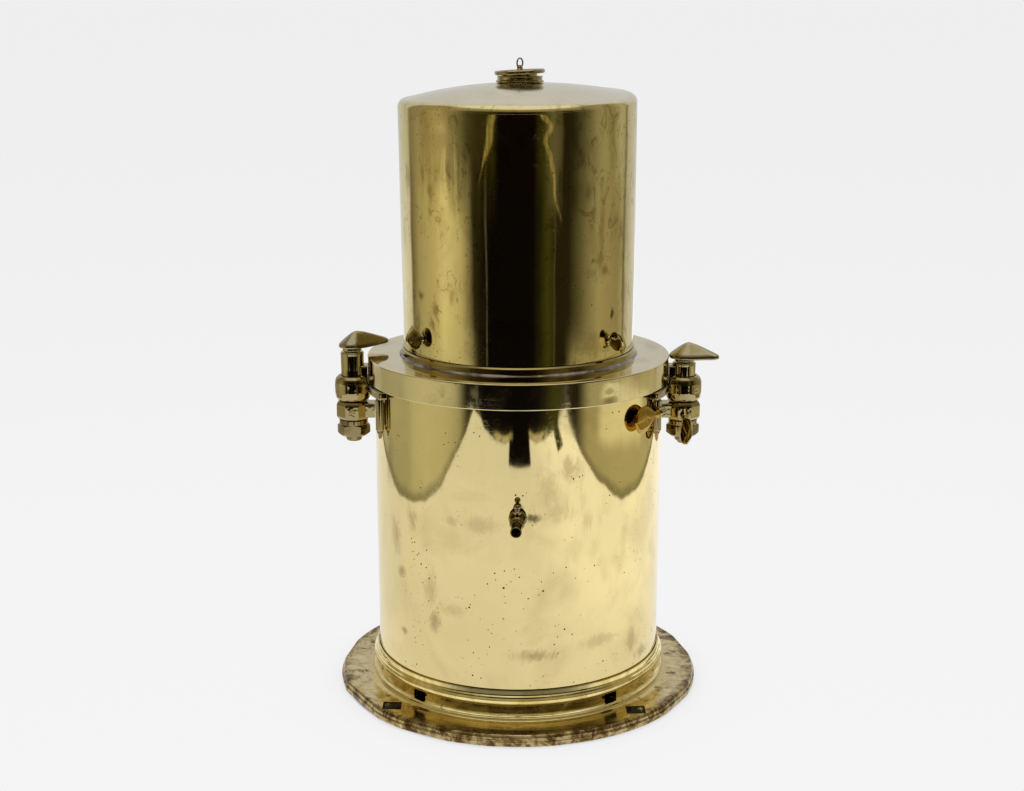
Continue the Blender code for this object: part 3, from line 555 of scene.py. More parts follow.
def boolean(ob, tool, operation):
    """Apply a boolean and remove the tool."""
    modifier = ob.modifiers.new("b", 'BOOLEAN')
    modifier.operation = operation
    modifier.solver = 'EXACT'
    modifier.object = tool
    bake(ob)
    mesh = tool.data
    bpy.data.objects.remove(tool)
    bpy.data.meshes.remove(mesh)


def cut(ob, tool):
    boolean(ob, tool, 'DIFFERENCE')


def unite(ob, tool):
    boolean(ob, tool, 'UNION')


def soften(ob, voxel, smooth):
    """Cast look: joined shapes melt into one skin with small fillets."""
    remesh = ob.modifiers.new("r", 'REMESH')
    remesh.mode = 'VOXEL'
    remesh.voxel_size = voxel
    remesh.adaptivity = 0.0
    smoothing = ob.modifiers.new("s", 'SMOOTH')
    smoothing.factor = 0.5
    smoothing.iterations = smooth
    bake(ob)


def bevel(ob, width, segments=2, angle=30.0):
    modifier = ob.modifiers.new("v", 'BEVEL')
    modifier.width = width
    modifier.segments = segments
    modifier.limit_method = 'ANGLE'
    modifier.angle_limit = math.radians(angle)
    modifier.harden_normals = False
    bake(ob)


def rough_up(ob, amount, scale, seed):
    """Push vertices along their normals by smooth noise, in millimetres."""
    moved = []
    for v in ob.data.vertices:
        at = v.co * scale + Vector((seed * 7.3, seed * 3.1, -seed * 5.7))
        push = noise.noise(at) + 0.5 * noise.noise(at * 2.3) + 0.25 * noise.noise(at * 5.1)
        moved.append(v.co + v.normal * (amount * push))
    for v, place in zip(ob.data.vertices, moved):
        v.co = place
    ob.data.update()
    return ob


def round_corners(points, corner, cuts, closed):
    places = [Vector(p[:2]) for p in points]
    count = len(places)
    rounded = []
    for i, here in enumerate(places):
        if not closed and i in (0, count - 1):
            rounded.append(here)
            continue
        back = places[i - 1] - here
        ahead = places[(i + 1) % count] - here
        back_length, ahead_length = back.length, ahead.length
        back, ahead = back / back_length, ahead / ahead_length
        angle = math.acos(max(-1.0, min(1.0, back.dot(ahead))))
        radius = points[i][2] if len(points[i]) > 2 else corner
        if radius <= 0 or angle > math.pi - 0.06:
            rounded.append(here)
            continue
        trim = min(radius / math.tan(angle / 2), 0.45 * back_length, 0.45 * ahead_length)
        radius = trim * math.tan(angle / 2)
        centre = here + (back + ahead).normalized() * (radius / math.sin(angle / 2))
        first, last = here + back * trim - centre, here + ahead * trim - centre
        start, end = math.atan2(first.y, first.x), math.atan2(last.y, last.x)
        sweep = (end - start + math.pi) % (2 * math.pi) - math.pi
        for k in range(cuts + 1):
            turn = start + sweep * k / cuts
            rounded.append(centre + Vector((radius * math.cos(turn), radius * math.sin(turn))))
    return rounded


def profile(points, corner=0.4, cuts=3, step=3.0, closed=True):
    """Section with rounded corners and even rings; points are (radius, height)
    or (radius, height, corner radius)."""
    rounded = round_corners(points, corner, cuts, closed)
    dense = []
    for i in range(len(rounded) if closed else len(rounded) - 1):
        start, end = rounded[i], rounded[(i + 1) % len(rounded)]
        dense.append(start)
        length = (end - start).length
        if length > 1.0:
            along = (end - start) / length
            dense.append(start + along * 0.25)
            parts = max(1, int(round((length - 0.5) / step)))
            for j in range(1, parts):
                dense.append(start + along * (0.25 + (length - 0.5) * j / parts))
            dense.append(end - along * 0.25)
    if not closed:
        dense.append(rounded[-1])
    return [(max(0.0, p.x), p.y) for p in dense]


def turned(section, seg, closed=True, wob=None, matrix=None, phase=0.0):
    """Spin (radius, height) points.  wob(radius, z, angle) may move a ring's points."""
    angle = 2 * math.pi * np.arange(seg) / seg + phase
    verts, faces, rows = [], [], []
    for radius, z in section:
        if radius < 1e-6:
            rows.append([len(verts)])
            verts.append((0.0, 0.0, z))
            continue
        radii, heights = np.full(seg, radius), np.full(seg, z)
        if wob is not None:
            radii, heights = wob(radii, heights, angle)
        rows.append(list(range(len(verts), len(verts) + seg)))
        verts += list(zip(radii * np.cos(angle), radii * np.sin(angle), heights))
    pairs = list(zip(rows, rows[1:]))
    if closed:
        pairs.append((rows[-1], rows[0]))
    for this, other in pairs:
        if len(this) == 1 and len(other) == 1:
            continue
        for j in range(seg):
            k = (j + 1) % seg
            if len(this) == 1:
                faces.append((this[0], other[k], other[j]))
            elif len(other) == 1:
                faces.append((this[j], this[k], other[0]))
            else:
                faces.append((this[j], this[k], other[k], other[j]))
    return mesh_object(verts, faces, matrix)


def lathe(points, seg, closed, wob=None, matrix=None, phase=0.0, **rounding):
    return turned(profile(points, closed=closed, **rounding), seg, closed, wob, matrix, phase)


def ring(points, seg, **options):
    """Turned part whose section is a closed loop."""
    return lathe(points, seg, True, **options)


def solid(points, seg, **options):
    """Turned part whose section starts and ends on the axis."""
    return lathe(points, seg, False, **options)


def square_ring(inner, outer, bottom, top, seg):
    return turned([(outer, bottom), (outer, top), (inner, top), (inner, bottom)], seg)


def skin(loops, matrix=None, closed=False):
    """Skin equal loops; open ends are closed with a fan to their middle."""
    verts, faces = [], []
    size = len(loops[0])
    for loop in loops:
        verts += [tuple(p) for p in loop]
    count = len(loops)
    for i in range(count if closed else count - 1):
        here, there = i * size, ((i + 1) % count) * size
        for j in range(size):
            k = (j + 1) % size
            faces.append((here + j, here + k, there + k, there + j))
    if not closed:
        for i in (0, count - 1):
            middle = np.mean(np.array([tuple(p) for p in loops[i]], float), axis=0)
            verts.append(tuple(middle))
            hub = len(verts) - 1
            for j in range(size):
                faces.append((hub, i * size + j, i * size + (j + 1) % size))
    return mesh_object(verts, faces, matrix)


def brick(centre, size, turn=0.0, edge=0.0, segments=3):
    """Box turned about Z, its edges rounded by edge."""
    bm = bmesh.new()
    bmesh.ops.create_cube(bm, size=1.0)
    bm.transform(Matrix.Translation(centre) @ Matrix.Rotation(math.radians(turn), 4, 'Z') @
                 Matrix.Diagonal((*size, 1.0)))
    ob = from_bmesh(bm, bpy.data.meshes.new("part"))
    if edge:
        bevel(ob, edge, segments)
    return ob


def bar(start, end, radius, seg=48):
    start, end = Vector(start), Vector(end)
    axis = end - start
    up = (0, 0, 1) if abs(axis.normalized().z) < 0.9 else (0, 1, 0)
    return turned([(0, 0), (radius, 0), (radius, axis.length), (0, axis.length)], seg, False,
                  matrix=frame_at(start, axis, up))


def sector(inner, outer, az_start, az_end, bottom, top, steps, rows):
    """Curved bar between two azimuths."""
    loops = []
    for i in range(steps + 1):
        angle = math.radians(az_start + (az_end - az_start) * i / steps)
        x, y = math.sin(angle), -math.cos(angle)
        rise = [(outer * x, outer * y, bottom + (top - bottom) * k / rows)
                for k in range(rows + 1)]
        fall = [(inner * x, inner * y, top + (bottom - top) * k / rows)
                for k in range(rows + 1)]
        loops.append(rise + fall)
    return skin(loops)


def frame_at(origin, out, up=(0.0, 0.0, 1.0)):
    """Matrix whose local Z points along out."""
    z = Vector(out).normalized()
    x = Vector(up).cross(z).normalized()
    y = z.cross(x)
    matrix = Matrix((x, y, z)).transposed().to_4x4()
    matrix.translation = Vector(origin)
    return matrix


def polar(radius, azimuth, z=0.0):
    angle = math.radians(azimuth)
    return Vector((radius * math.sin(angle), -radius * math.cos(angle), z))


def arc(centre_r, centre_z, radius, start, end, count):
    angles = [math.radians(start + (end - start) * i / count) for i in range(count + 1)]
    return [(centre_r + radius * math.cos(a), centre_z + radius * math.sin(a)) for a in angles]


def waves(seed, amp, most_lobes, lengths, count):
    """Smooth periodic noise over azimuth and height, for uneven sheet metal."""
    rand = np.random.RandomState(seed)
    terms = [(rand.randint(0, most_lobes + 1), rand.uniform(0, 6.283),
              6.283 / rand.uniform(*lengths), rand.uniform(0, 6.283), rand.uniform(0.4, 1.0))
             for _ in range(count)]
    total = sum(term[4] for term in terms)

    def wave(angle, z):
        out = np.zeros_like(angle)
        for lobes, phase, rate, shift, weight in terms:
            out = out + weight * np.sin(lobes * angle + phase) * np.sin(rate * z + shift)
        return amp * out * 2.2 / total
    return wave


def dents(items):
    """Shallow round dents: (azimuth, height, radius, depth)."""
    def dent(radius, z, angle):
        out = np.zeros_like(angle)
        for azimuth, height, size, depth in items:
            centre = math.radians(azimuth) - math.pi / 2
            away = (angle - centre + math.pi) % (2 * math.pi) - math.pi
            square = (away * radius) ** 2 + (z - height) ** 2
            out = out - depth * np.exp(-square / (2 * size * size))
        return out
    return dent


def spline(places, table):
    """Smooth (Catmull-Rom) interpolation of table rows by their first column."""
    knots = np.array([row[0] for row in table], float)
    rows = np.array([row[1:] for row in table], float)
    out = []
    for place in places:
        i = int(np.clip(np.searchsorted(knots, place) - 1, 0, len(knots) - 2))
        gap = knots[i + 1] - knots[i]
        u = (place - knots[i]) / gap
        chord_slope = (rows[i + 1] - rows[i]) / gap
        slope_in = slope_out = chord_slope
        if i > 0:
            slope_in = (rows[i + 1] - rows[i - 1]) / (knots[i + 1] - knots[i - 1])
        if i + 2 < len(knots):
            slope_out = (rows[i + 2] - rows[i]) / (knots[i + 2] - knots[i])
        out.append((2 * u ** 3 - 3 * u ** 2 + 1) * rows[i]
                   + (u ** 3 - 2 * u ** 2 + u) * gap * slope_in
                   + (-2 * u ** 3 + 3 * u ** 2) * rows[i + 1]
                   + (u ** 3 - u ** 2) * gap * slope_out)
    return np.array(out)


def piece(ob, node, material, sharp, name=None, body=None, slot=None):
    """Scale to metres, shade, give the finish and put in a CAD node's place.
    A piece without a node brings its own name and body; its slot is not used."""
    ob.name = name or node + "_form"
    ob.data.name = ob.name
    ob.data.transform(Matrix.Scale(MM, 4))
    ob.data.shade_smooth()
    ob.data.set_sharp_from_angle(angle=math.radians(sharp))
    ob.data.materials.clear()
    ob.data.materials.append(material)
    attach(ob, body or frame["nodes"][node]["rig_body"])
    if node:
        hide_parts(node)
    slot or SLOT[node]


# -------------------------------------------------- sizes from the CAD boxes

FLANGE_R = box("base_flange")[1].y
DRUM_Z0, DRUM_R, DRUM_Z1 = box("drum_shell")[0].z, *box("drum_shell")[1].yz
LID_Z0, LID_R, LID_Z1 = box("lid_plate")[0].z, *box("lid_plate")[1].yz
HOOD_Z0, HOOD_R = box("hood_shell")[0].z, box("hood_shell")[1].y
SHELL_SEG = 256

# ------------------------------------------------------------------- flange

RIM_R = 134.2
FLATS = (       # flats filed on the rim: (azimuth, distance from the axis)
    (-60.0, 131.6), (-31.0, 133.1), (16.0, 133.7), (60.0, 133.0), (104.0, 133.4),
    (150.0, 133.3), (-100.0, 133.3), (-140.0, 132.9))
FLANGE_SECTION = [
    (0, 0.0), (132.9, 0.0, 0.8), (134.0, 0.9, 0.5), (RIM_R, 4.3, 0.6), (133.2, 5.0, 0.3),
    (133.1, 5.6, 0.3), (133.3, 6.6, 0.9), (131.9, 8.5, 0.9), (128.4, 8.3, 1.5),
    (113.4, 7.7, 2.5), (110.7, 8.5, 1.2), (109.8, 9.7, 0.5), (109.5, 11.2, 0.5),
    (108.1, 12.1, 0.4), (107.6, 12.9, 0.4), (107.6, 18.8, 0.4), (108.4, 19.4, 0.3),
    (109.0, 20.6, 0.8), (109.0, 22.9, 0.9), (107.9, 24.3, 0.5), (107.7, 25.1, 0.3),
    (106.9, 25.9, 0.4), (106.6, 26.6, 0.3), (106.6, 29.5, 0.4), (105.45, 29.7, 0.15),
    (105.3, 28.9, 0.0), (105.3, 21.3, 0.0), (101.0, 21.3, 0.0), (101.0, 3.2, 0.0), (0, 3.2)]
BOLT_CIRCLE_R, BOLT_TURN = 122.8, -2.3
rim_wave = waves(41, 0.22, 30, (6.0, 20.0), 16)
top_wave = waves(42, 0.16, 14, (14.0, 40.0), 14)


def flange_wob(radius, z, angle):
    azimuth = np.degrees(angle) + 90.0
    limit = np.full_like(angle, 1.0)
    for centre, distance in FLATS:
        away = np.radians((azimuth - centre + 180.0) % 360.0 - 180.0)
        flat = distance / (RIM_R * np.cos(np.clip(away, -0.9, 0.9)))
        limit = np.where(np.abs(away) < 0.9, np.minimum(limit, flat), limit)
    ease = np.clip((radius - 114.0) / 18.0, 0, 1)
    ease = ease * ease * (3 - 2 * ease)
    radii = (radius * (1 - ease * (1 - limit)) +
             np.where(radius > 129.0, rim_wave(angle, z * 3.0 + radius), 0.0))
    on_top = (z > 5.0) & (radius > 110.0) & (radius < 133.5)
    heights = z + np.where(on_top, top_wave(angle, radius * 2.0), 0.0)
    return np.minimum(radii, FLANGE_R), heights


base = solid(FLANGE_SECTION, SHELL_SEG, wob=flange_wob, corner=0.3, step=2.4)
for k in range(4):      # square bolt holes
    x, y, _ = polar(BOLT_CIRCLE_R, 45.0 + 90.0 * k + BOLT_TURN)
    cut(base, brick((x, y, 4.0), (13.4, 13.4, 24.0), edge=0.8))
for azimuth in (37.6, 142.4, -142.4, -41.0):     # openings in the plinth wall
    x, y, _ = polar(105.0, azimuth)
    cut(base, brick((x, y, 15.6), (11.0, 14.0, 7.4), azimuth, edge=0.7, segments=2))
piece(base, "base_flange", CAST_BRASS, 34)

# --------------------------------------------------------------------- drum

DRUM_WALL = 2.0
DRUM_WOB_GAIN = 0.999
drum_wave = waves(7, 0.075, 9, (60.0, 190.0), 16)
drum_dent = dents([(-46, 92, 9, 0.10), (22, 64, 8, 0.09), (58, 120, 12, 0.12),
                   (-12, 190, 9, 0.06), (95, 150, 14, 0.15), (170, 90, 16, 0.18),
                   (-120, 140, 12, 0.12), (12, 45, 10, 0.07)])


def drum_wob(radius, z, angle):
    edge = np.clip(np.minimum(z - DRUM_Z0, DRUM_Z1 - z) / 14.0, 0, 1)
    push = drum_wave(angle, z) + drum_dent(radius, z, angle)
    return radius + push * edge * DRUM_WOB_GAIN, z


drum = ring([(DRUM_R, DRUM_Z0, 0.3), (DRUM_R, DRUM_Z1, 0.4), (DRUM_R - DRUM_WALL, DRUM_Z1, 0.4),
             (DRUM_R - DRUM_WALL, DRUM_Z0, 0.3)], SHELL_SEG, wob=drum_wob, step=3.4)

# the cock in the front wall points a little left and down
COCK_LEFT, COCK_DOWN = math.radians(3.0), math.radians(5.0)
cock_out = Vector((-math.sin(COCK_LEFT) * math.cos(COCK_DOWN),
                   -math.cos(COCK_LEFT) * math.cos(COCK_DOWN), -math.sin(COCK_DOWN)))
cock_at = Vector((-0.6, -DRUM_R, 156.0))
cock_frame = frame_at(cock_at, cock_out)
cut(drum, bar(cock_at - cock_out * 6, cock_at + cock_out * 4, 3.0))
piece(drum, "drum_shell", DRUM_BRASS, 40)

cock = ring([(6.2, 1.2, 0.3), (6.3, 2.9, 0.5), (5.4, 4.2, 0.5), (5.25, 5.6, 0.4),
             (5.2, 11.6, 0.5), (4.7, 13.0, 0.4), (4.35, 13.6, 0.2), (4.3, 15.4, 0.3),
             (3.8, 16.4, 0.3), (3.55, 24.6, 0.5), (3.9, 25.2, 0.3), (3.95, 26.5, 0.35),
             (3.5, 27.0, 0.2), (3.2, 26.6, 0.1), (3.2, 15.8, 0.2), (1.5, 14.0, 0.2),
             (1.5, 1.2, 0.1)], 64, matrix=cock_frame, corner=0.2, step=1.0)
key_frame = (cock_frame @ Matrix.Translation((0, 0, 7.0)) @
             Matrix.Rotation(math.radians(-90), 4, 'X'))
cut(cock, turned([(0, -8.0), (2.5, -8.0), (2.5, 8.0), (0, 8.0)], 48, False, matrix=key_frame))
piece(cock, "cock_body", DARK_BRASS, 40)
piece(solid([(0, -6.2), (1.6, -6.2, 0.3), (2.1, -5.5, 0.3), (2.1, 5.6, 0.1), (2.85, 5.8, 0.3),
             (2.9, 7.0, 0.4), (1.75, 7.8, 0.5), (1.7, 8.6, 0.4), (2.4, 9.6, 0.8),
             (2.45, 10.8, 0.9), (1.5, 12.2, 0.8), (0, 12.3)], 48, matrix=key_frame,
            corner=0.2, cuts=4, step=0.7), "cock_key", DARK_BRASS, 45)

# ---------------------------------------------------------------------- lid

lid_wave = waves(11, 0.05, 9, (30.0, 80.0), 14)
lid_top_wave = waves(12, 0.07, 8, (24.0, 60.0), 14)
lid_dent = dents([(-27, 241, 2.2, 0.35), (34, 237, 3.0, 0.2), (-64, 236, 4, 0.2),
                  (75, 243, 4, 0.25), (140, 240, 5, 0.3), (-150, 238, 5, 0.3)])


def lid_wob(radius, z, angle):
    side = np.clip(1 - np.abs(radius - LID_R) / 0.6, 0, 1)
    top = ((z > LID_Z1 - 0.8) & (radius > 88.0)).astype(float)
    ease = np.clip((radius - 88.0) / 6.0, 0, 1) * np.clip((LID_R - radius) / 1.2, 0, 1)
    radii = radius - np.abs(lid_wave(angle, z)) * side + lid_dent(radius, z, angle) * side
    return radii, z - np.abs(lid_top_wave(angle, radius)) * top * ease


piece(ring([(LID_R, LID_Z0, 0.45), (LID_R, LID_Z1, 0.9), (79.0, LID_Z1, 0.5),
            (79.0, LID_Z1 - 3.0, 0.4), (106.0, LID_Z1 - 3.0, 0.5), (106.0, LID_Z0, 0.4)],
           SHELL_SEG, wob=lid_wob, cuts=5, step=2.0), "lid_plate", LID_BRASS, 40)

low, high = box("lid_gasket")
piece(ring([(high.y, low.z), (high.y, high.z), (101.2, high.z), (101.2, low.z)], 160,
           corner=0.6, cuts=4, step=1.2), "lid_gasket", RUBBER, 40)

low, high = box("hood_collar")
COLLAR_R = high.y
collar_wave = waves(13, 0.05, 20, (6.0, 20.0), 10)


def collar_wob(radius, z, angle):
    return radius - np.abs(collar_wave(angle, z)) * (radius > 84.5), z


piece(ring([(COLLAR_R, low.z, 0.3), (COLLAR_R, low.z + 4.3, 0.5), (84.3, low.z + 5.4, 0.3),
            (81.2, low.z + 5.4, 0.3), (81.2, high.z - 0.6, 0.3), (80.6, high.z, 0.3),
            (79.4, high.z, 0.3), (79.4, low.z, 0.3)], 192, wob=collar_wob, step=2.0),
      "hood_collar", COLLAR_BRASS, 40)


def collar_solder():
    """Uneven solder fillet where the collar sits on the lid."""
    rand = np.random.RandomState(5)
    seg = 420
    lump = np.interp(np.arange(seg), np.linspace(0, seg, 71),
                     np.append(rand.uniform(0.0, 1.0, 70), 0))
    lump[-6:] = np.linspace(lump[-7], lump[0], 6)
    lump = np.convolve(np.r_[lump[-4:], lump, lump[:4]], np.ones(9) / 9, 'valid')
    fine = np.convolve(np.tile(rand.uniform(-1, 1, seg), 3), np.ones(3) / 3, 'same')[seg:2 * seg]
    # section: (share of the width, share of the height)
    section = ((0, 0), (1, 0), (0.86, 0.16), (0.6, 0.38), (0.34, 0.66), (0.12, 0.92), (0, 1))
    inner, bottom = COLLAR_R + 0.02, LID_Z1 + 0.02
    loops = []
    for i in range(seg):
        angle = 2 * math.pi * i / seg
        height = 0.45 + 1.15 * lump[i] + 0.10 * fine[i]
        width = (0.7 + 0.9 * lump[(i * 3 + 40) % seg] + lump[i] * 0.7 +
                 0.10 * fine[(i + 9) % seg])
        loops.append([((inner + width * out) * math.cos(angle),
                       (inner + width * out) * math.sin(angle), bottom + height * up)
                      for out, up in section])
    return skin(loops, closed=True)


piece(collar_solder(), None, SOLDER, 50, "collar_solder", "lid", "lead")

# ------------------------------------------------------------------ catches

CATCH_X = (box("catch_nut_right")[0].x + box("catch_nut_right")[1].x) / 2
PIN_CIRCLE_R, PIN_AZIMUTH = 108.4, 65.0
clamp_out = Vector((0.0, -math.cos(math.radians(40.0)), -math.sin(math.radians(40.0))))
clamp_at = Vector((CATCH_X, -11.9, 206.4))
lock_out = Vector((-math.sin(math.radians(35.0)), -math.cos(math.radians(35.0)),
                   -0.05)).normalized()
lock_at = polar(PIN_CIRCLE_R + 2.6, PIN_AZIMUTH, 215.7)

# teardrop handle: round tip of TIP_R centred TIP_REACH from the head's centre
TIP_R, TIP_REACH = 3.5, 24.4
LIFT_START = 9.0        # where along the handle the tip begins to lift
HANDLE = {              # (azimuth turn about Z, head radius)
    "left": (23.4, 9.7), "right": (-34.2, 11.2)}
HANDLE_STATIONS = [     # (position, outline scale, height, lift of the tip)
    (0.0, 0.90, 0.02, 1.4), (0.05, 0.965, 0.15, 1.5), (0.10, 0.995, 0.6, 1.6),
    (0.16, 1.0, 1.4, 1.8), (0.22, 0.99, 2.2, 1.9), (0.28, 0.955, 3.0, 1.85),
    (0.38, 0.86, 4.3, 1.6), (0.52, 0.68, 6.3, 1.1), (0.66, 0.48, 8.4, 0.6),
    (0.80, 0.27, 10.4, 0.2), (0.92, 0.10, 11.5, 0.0), (1.0, 0.012, 11.8, 0.0)]


def teardrop(head_r, head_cuts=46, tip_cuts=14, side_cuts=14):
    def straight(start, end):
        return [(start[0] + (end[0] - start[0]) * i / side_cuts,
                 start[1] + (end[1] - start[1]) * i / side_cuts) for i in range(1, side_cuts)]

    meet = math.acos((head_r - TIP_R) / TIP_REACH)
    turns = [meet + (2 * math.pi - 2 * meet) * i / head_cuts for i in range(head_cuts + 1)]
    head = [(head_r * math.cos(t), head_r * math.sin(t)) for t in turns]
    turns = [-meet + 2 * meet * i / tip_cuts for i in range(tip_cuts + 1)]
    tip = [(TIP_REACH + TIP_R * math.cos(t), TIP_R * math.sin(t)) for t in turns]
    return head + straight(head[-1], tip[0]) + tip + straight(tip[-1], head[0])


def handle(under, turn, centre_x, head_r, seed):
    """Low lopsided cone over a teardrop with a rolled edge and a lifted tip."""
    outline = teardrop(head_r)
    loops = []
    for scale, z, lift in spline(np.linspace(0, 1, 40), HANDLE_STATIONS):
        loop = []
        for x, y in outline:
            share = (x - LIFT_START) / (TIP_REACH + TIP_R - LIFT_START)
            share = min(1.0, max(0.0, share))
            loop.append((3.5 + (x - 3.5) * scale, y * scale, z + lift * share))
        loops.append(loop)
    ob = skin(loops, Matrix.Translation((centre_x, 0, under)) @
              Matrix.Rotation(math.radians(turn), 4, 'Z'))
    unite(ob, solid([(0, 0), (7.0, 0, 0.5), (7.0, 5.9, 0.2), (0, 5.9)], 64,
                    matrix=Matrix.Translation((centre_x, 0, under - 2.5))))
    return rough_up(ob, 0.07, 0.12, seed)


def drum_clearance():
    return square_ring(60.0, DRUM_R + 0.3, 180.0, 236.0, 192)


def star_bar(centre_x):
    """Five-pointed hole through the front of the left boss."""
    radii = [3.1 if i % 2 == 0 else 1.9 for i in range(10)]
    return skin([[(centre_x + radius * math.cos(math.pi * i / 5), y,
                   205.8 + radius * math.sin(math.pi * i / 5))
                  for i, radius in enumerate(radii)] for y in (-16.0, -10.9)])


def catch_base(side, sign, centre_x, at):
    """Faceted lower boss on its arm, with a spigot below."""
    boss = solid([(0, 199.5), (11.4, 199.5, 0.8), (12.9, 201.7, 0.9), (12.9, 210.4, 0.9),
                  (11.8, 212.8, 0.7), (0, 212.8)], 8, matrix=at, phase=math.radians(22.5),
                 step=2.0)
    unite(boss, brick((sign * 110.0, 0, 206.2), (14.0, 15.0, 10.6), edge=1.2))
    soften(boss, voxel=0.36, smooth=3)
    rough_up(boss, 0.05, 0.12, 5 + sign)
    cut(boss, drum_clearance())
    unite(boss, solid([(0, 182.8), (5.2, 182.8, 0.4), (5.8, 183.7, 0.3), (5.8, 200.5, 0.0),
                       (0, 200.5)], 48, matrix=at, step=1.5))
    if side == "right":
        holes = bar(clamp_at - clamp_out * 4.0, clamp_at + clamp_out * 9.0, 2.3)
    else:
        holes = star_bar(centre_x)
    unite(holes, bar((centre_x, 0, 178), (centre_x, 0, 218), 4.6, 64))
    cut(boss, holes)
    piece(boss, "catch_base_" + side, CATCH_BRASS, 40)


def catch_nut(side, centre_x, at):
    """Hexagon with its corners turned off, a round collar on top, a foot below."""
    corner_r = 10.45 / math.cos(math.pi / 6)
    nut = turned([(0, 187.6), (corner_r, 187.6), (corner_r, 195.4), (0, 195.4)], 6, False,
                 matrix=at)
    boolean(nut, turned([(0, 187.6), (10.3, 187.6), (12.2, 188.9), (12.2, 194.3),
                         (10.4, 195.4), (0, 195.4)], 96, False, matrix=at), 'INTERSECT')
    unite(nut, solid([(0, 195.0), (10.2, 195.0, 0.0), (10.6, 195.7, 0.3), (10.6, 199.2, 0.5),
                      (0, 199.2)], 96, matrix=at, step=2.0))
    unite(nut, solid([(0, 186.8), (9.6, 186.8, 0.3), (9.9, 187.8, 0.0), (0, 187.8)], 64,
                     matrix=at, step=2.0))
    cut(nut, bar((centre_x, 0, 180), (centre_x, 0, 205), 6.1, 64))
    bevel(nut, 0.18, 2, 40)
    piece(nut, "catch_nut_" + side, DARK_BRASS, 32)


def catch_housing(side, sign, at, lug):
    """Bulb housing with its web and the curved bracket towards the guide pin."""
    bulb = solid([(0, 213.6), (11.0, 213.6, 1.0), (12.6, 215.6, 2.2), (13.2, 219.6, 3.0),
                  (13.2, 227.2, 1.6), (12.3, 230.0, 1.2), (10.4, 231.9, 0.8), (0, 232.0)],
                 72, matrix=at, cuts=6, step=1.6)
    unite(bulb, brick((sign * 112.6, 0, 233.5), (6.4, 13.0, 12.6), edge=1.4))
    start, end = sorted((sign * 60.5, sign * 86.0))
    bracket = sector(105.6, 112.0, start, end, 225.2, 230.9, 20, 2)
    bevel(bracket, 0.9, 2, 40)
    unite(bulb, bracket)
    soften(bulb, voxel=0.36, smooth=6)
    rough_up(bulb, 0.05, 0.10, 8 + sign)
    cut(bulb, square_ring(60.0, LID_R + 0.3, 231.0, 262.0, 192))
    cut(bulb, turned([(0, 208.0), (4.6, 208.0), (4.6, 214.7), (8.9, 214.7), (8.9, 248.0),
                      (0, 248.0)], 72, False, matrix=at))
    cut(bulb, bar((lug.x, lug.y, 220), (lug.x, lug.y, 236), 1.95, 32))
    piece(bulb, "catch_housing_" + side, CATCH_BRASS, 40)


def guide(side, sign, lug):
    """Pin hanging from the housing's bracket, and its sleeve on the drum."""
    at = Matrix.Translation((lug.x, lug.y, 0))
    piece(solid([(0, 196.2), (0.45, 196.4, 0.2), (1.55, 199.6, 0.3), (1.6, 230.2, 0.15),
                 (0, 230.4)], 32, matrix=at, corner=0.2, step=1.5),
          "guide_pin_" + side, DARK_BRASS, 50)
    tube = solid([(0, 201.1), (2.4, 201.1, 0.3), (2.9, 201.9, 0.3), (2.9, 224.0, 0.3),
                  (0, 224.2)], 40, matrix=at, step=1.2)
    foot = polar(105.8, sign * PIN_AZIMUTH)
    unite(tube, brick((foot.x, foot.y, 213.0), (3.6, 4.4, 17.0), sign * PIN_AZIMUTH,
                      edge=0.6, segments=2))
    if side == "right":
        unite(tube, solid([(0, -2.4), (3.6, -2.4, 0.3), (3.6, 3.4, 0.5), (2.9, 4.4, 0.2),
                           (0, 4.4)], 40, matrix=frame_at(lock_at, lock_out), step=1.0))
    soften(tube, voxel=0.3, smooth=2)
    cut(tube, drum_clearance())
    core = bar((lug.x, lug.y, 198), (lug.x, lug.y, 228), 1.95, 32)
    if side == "right":
        unite(core, bar(lock_at - lock_out * 1.6, lock_at + lock_out * 8, 1.7, 32))
    cut(tube, core)
    piece(tube, "guide_sleeve_" + side, CATCH_BRASS, 40)


def catch_slider(side, sign, centre_x, at):
    """Sliding sleeve, spindle and handle, lowered to the CAD handle's height."""
    under = box("catch_handle_" + side)[0].z + 2.5
    down = 252.6 - under
    sleeve = profile([(8.55, 223.5, 0.3), (8.6, 226.0, 0.0), (8.35, 236.0, 0.0),
                      (8.5, 247.2, 0.6), (8.6, 248.6, 0.5), (7.9, 249.5, 0.4),
                      (4.3, 249.5, 0.2), (4.3, 246.6, 0.2), (6.4, 246.6, 0.3),
                      (6.4, 223.5, 0.2)], cuts=4, step=1.6)
    piece(turned([(radius, z - down) for radius, z in sleeve], 72, matrix=at),
          "catch_sleeve_" + side, CATCH_BRASS, 40)
    spindle = profile([(0, 188.5), (3.1, 188.5, 0.3), (3.8, 189.3, 0.3), (3.8, 249.6, 0.2),
                       (0, 249.8)], closed=False, step=2.0)
    piece(turned([(radius, z - down) for radius, z in spindle], 40, False, matrix=at),
          "catch_spindle_" + side, STEEL, 50)
    turn, head_r = HANDLE[side]
    piece(handle(under, turn, centre_x, head_r, seed=3 if sign < 0 else 4),
          "catch_handle_" + side, GRIP_BRASS, 50)


for side, sign in SIDES:
    centre_x = sign * CATCH_X
    at = Matrix.Translation((centre_x, 0, 0))
    lug = polar(PIN_CIRCLE_R, sign * PIN_AZIMUTH)
    catch_base(side, sign, centre_x, at)
    catch_nut(side, centre_x, at)
    catch_housing(side, sign, at, lug)
    guide(side, sign, lug)
    catch_slider(side, sign, centre_x, at)

# ------------------------------------------------------------ thumb screws

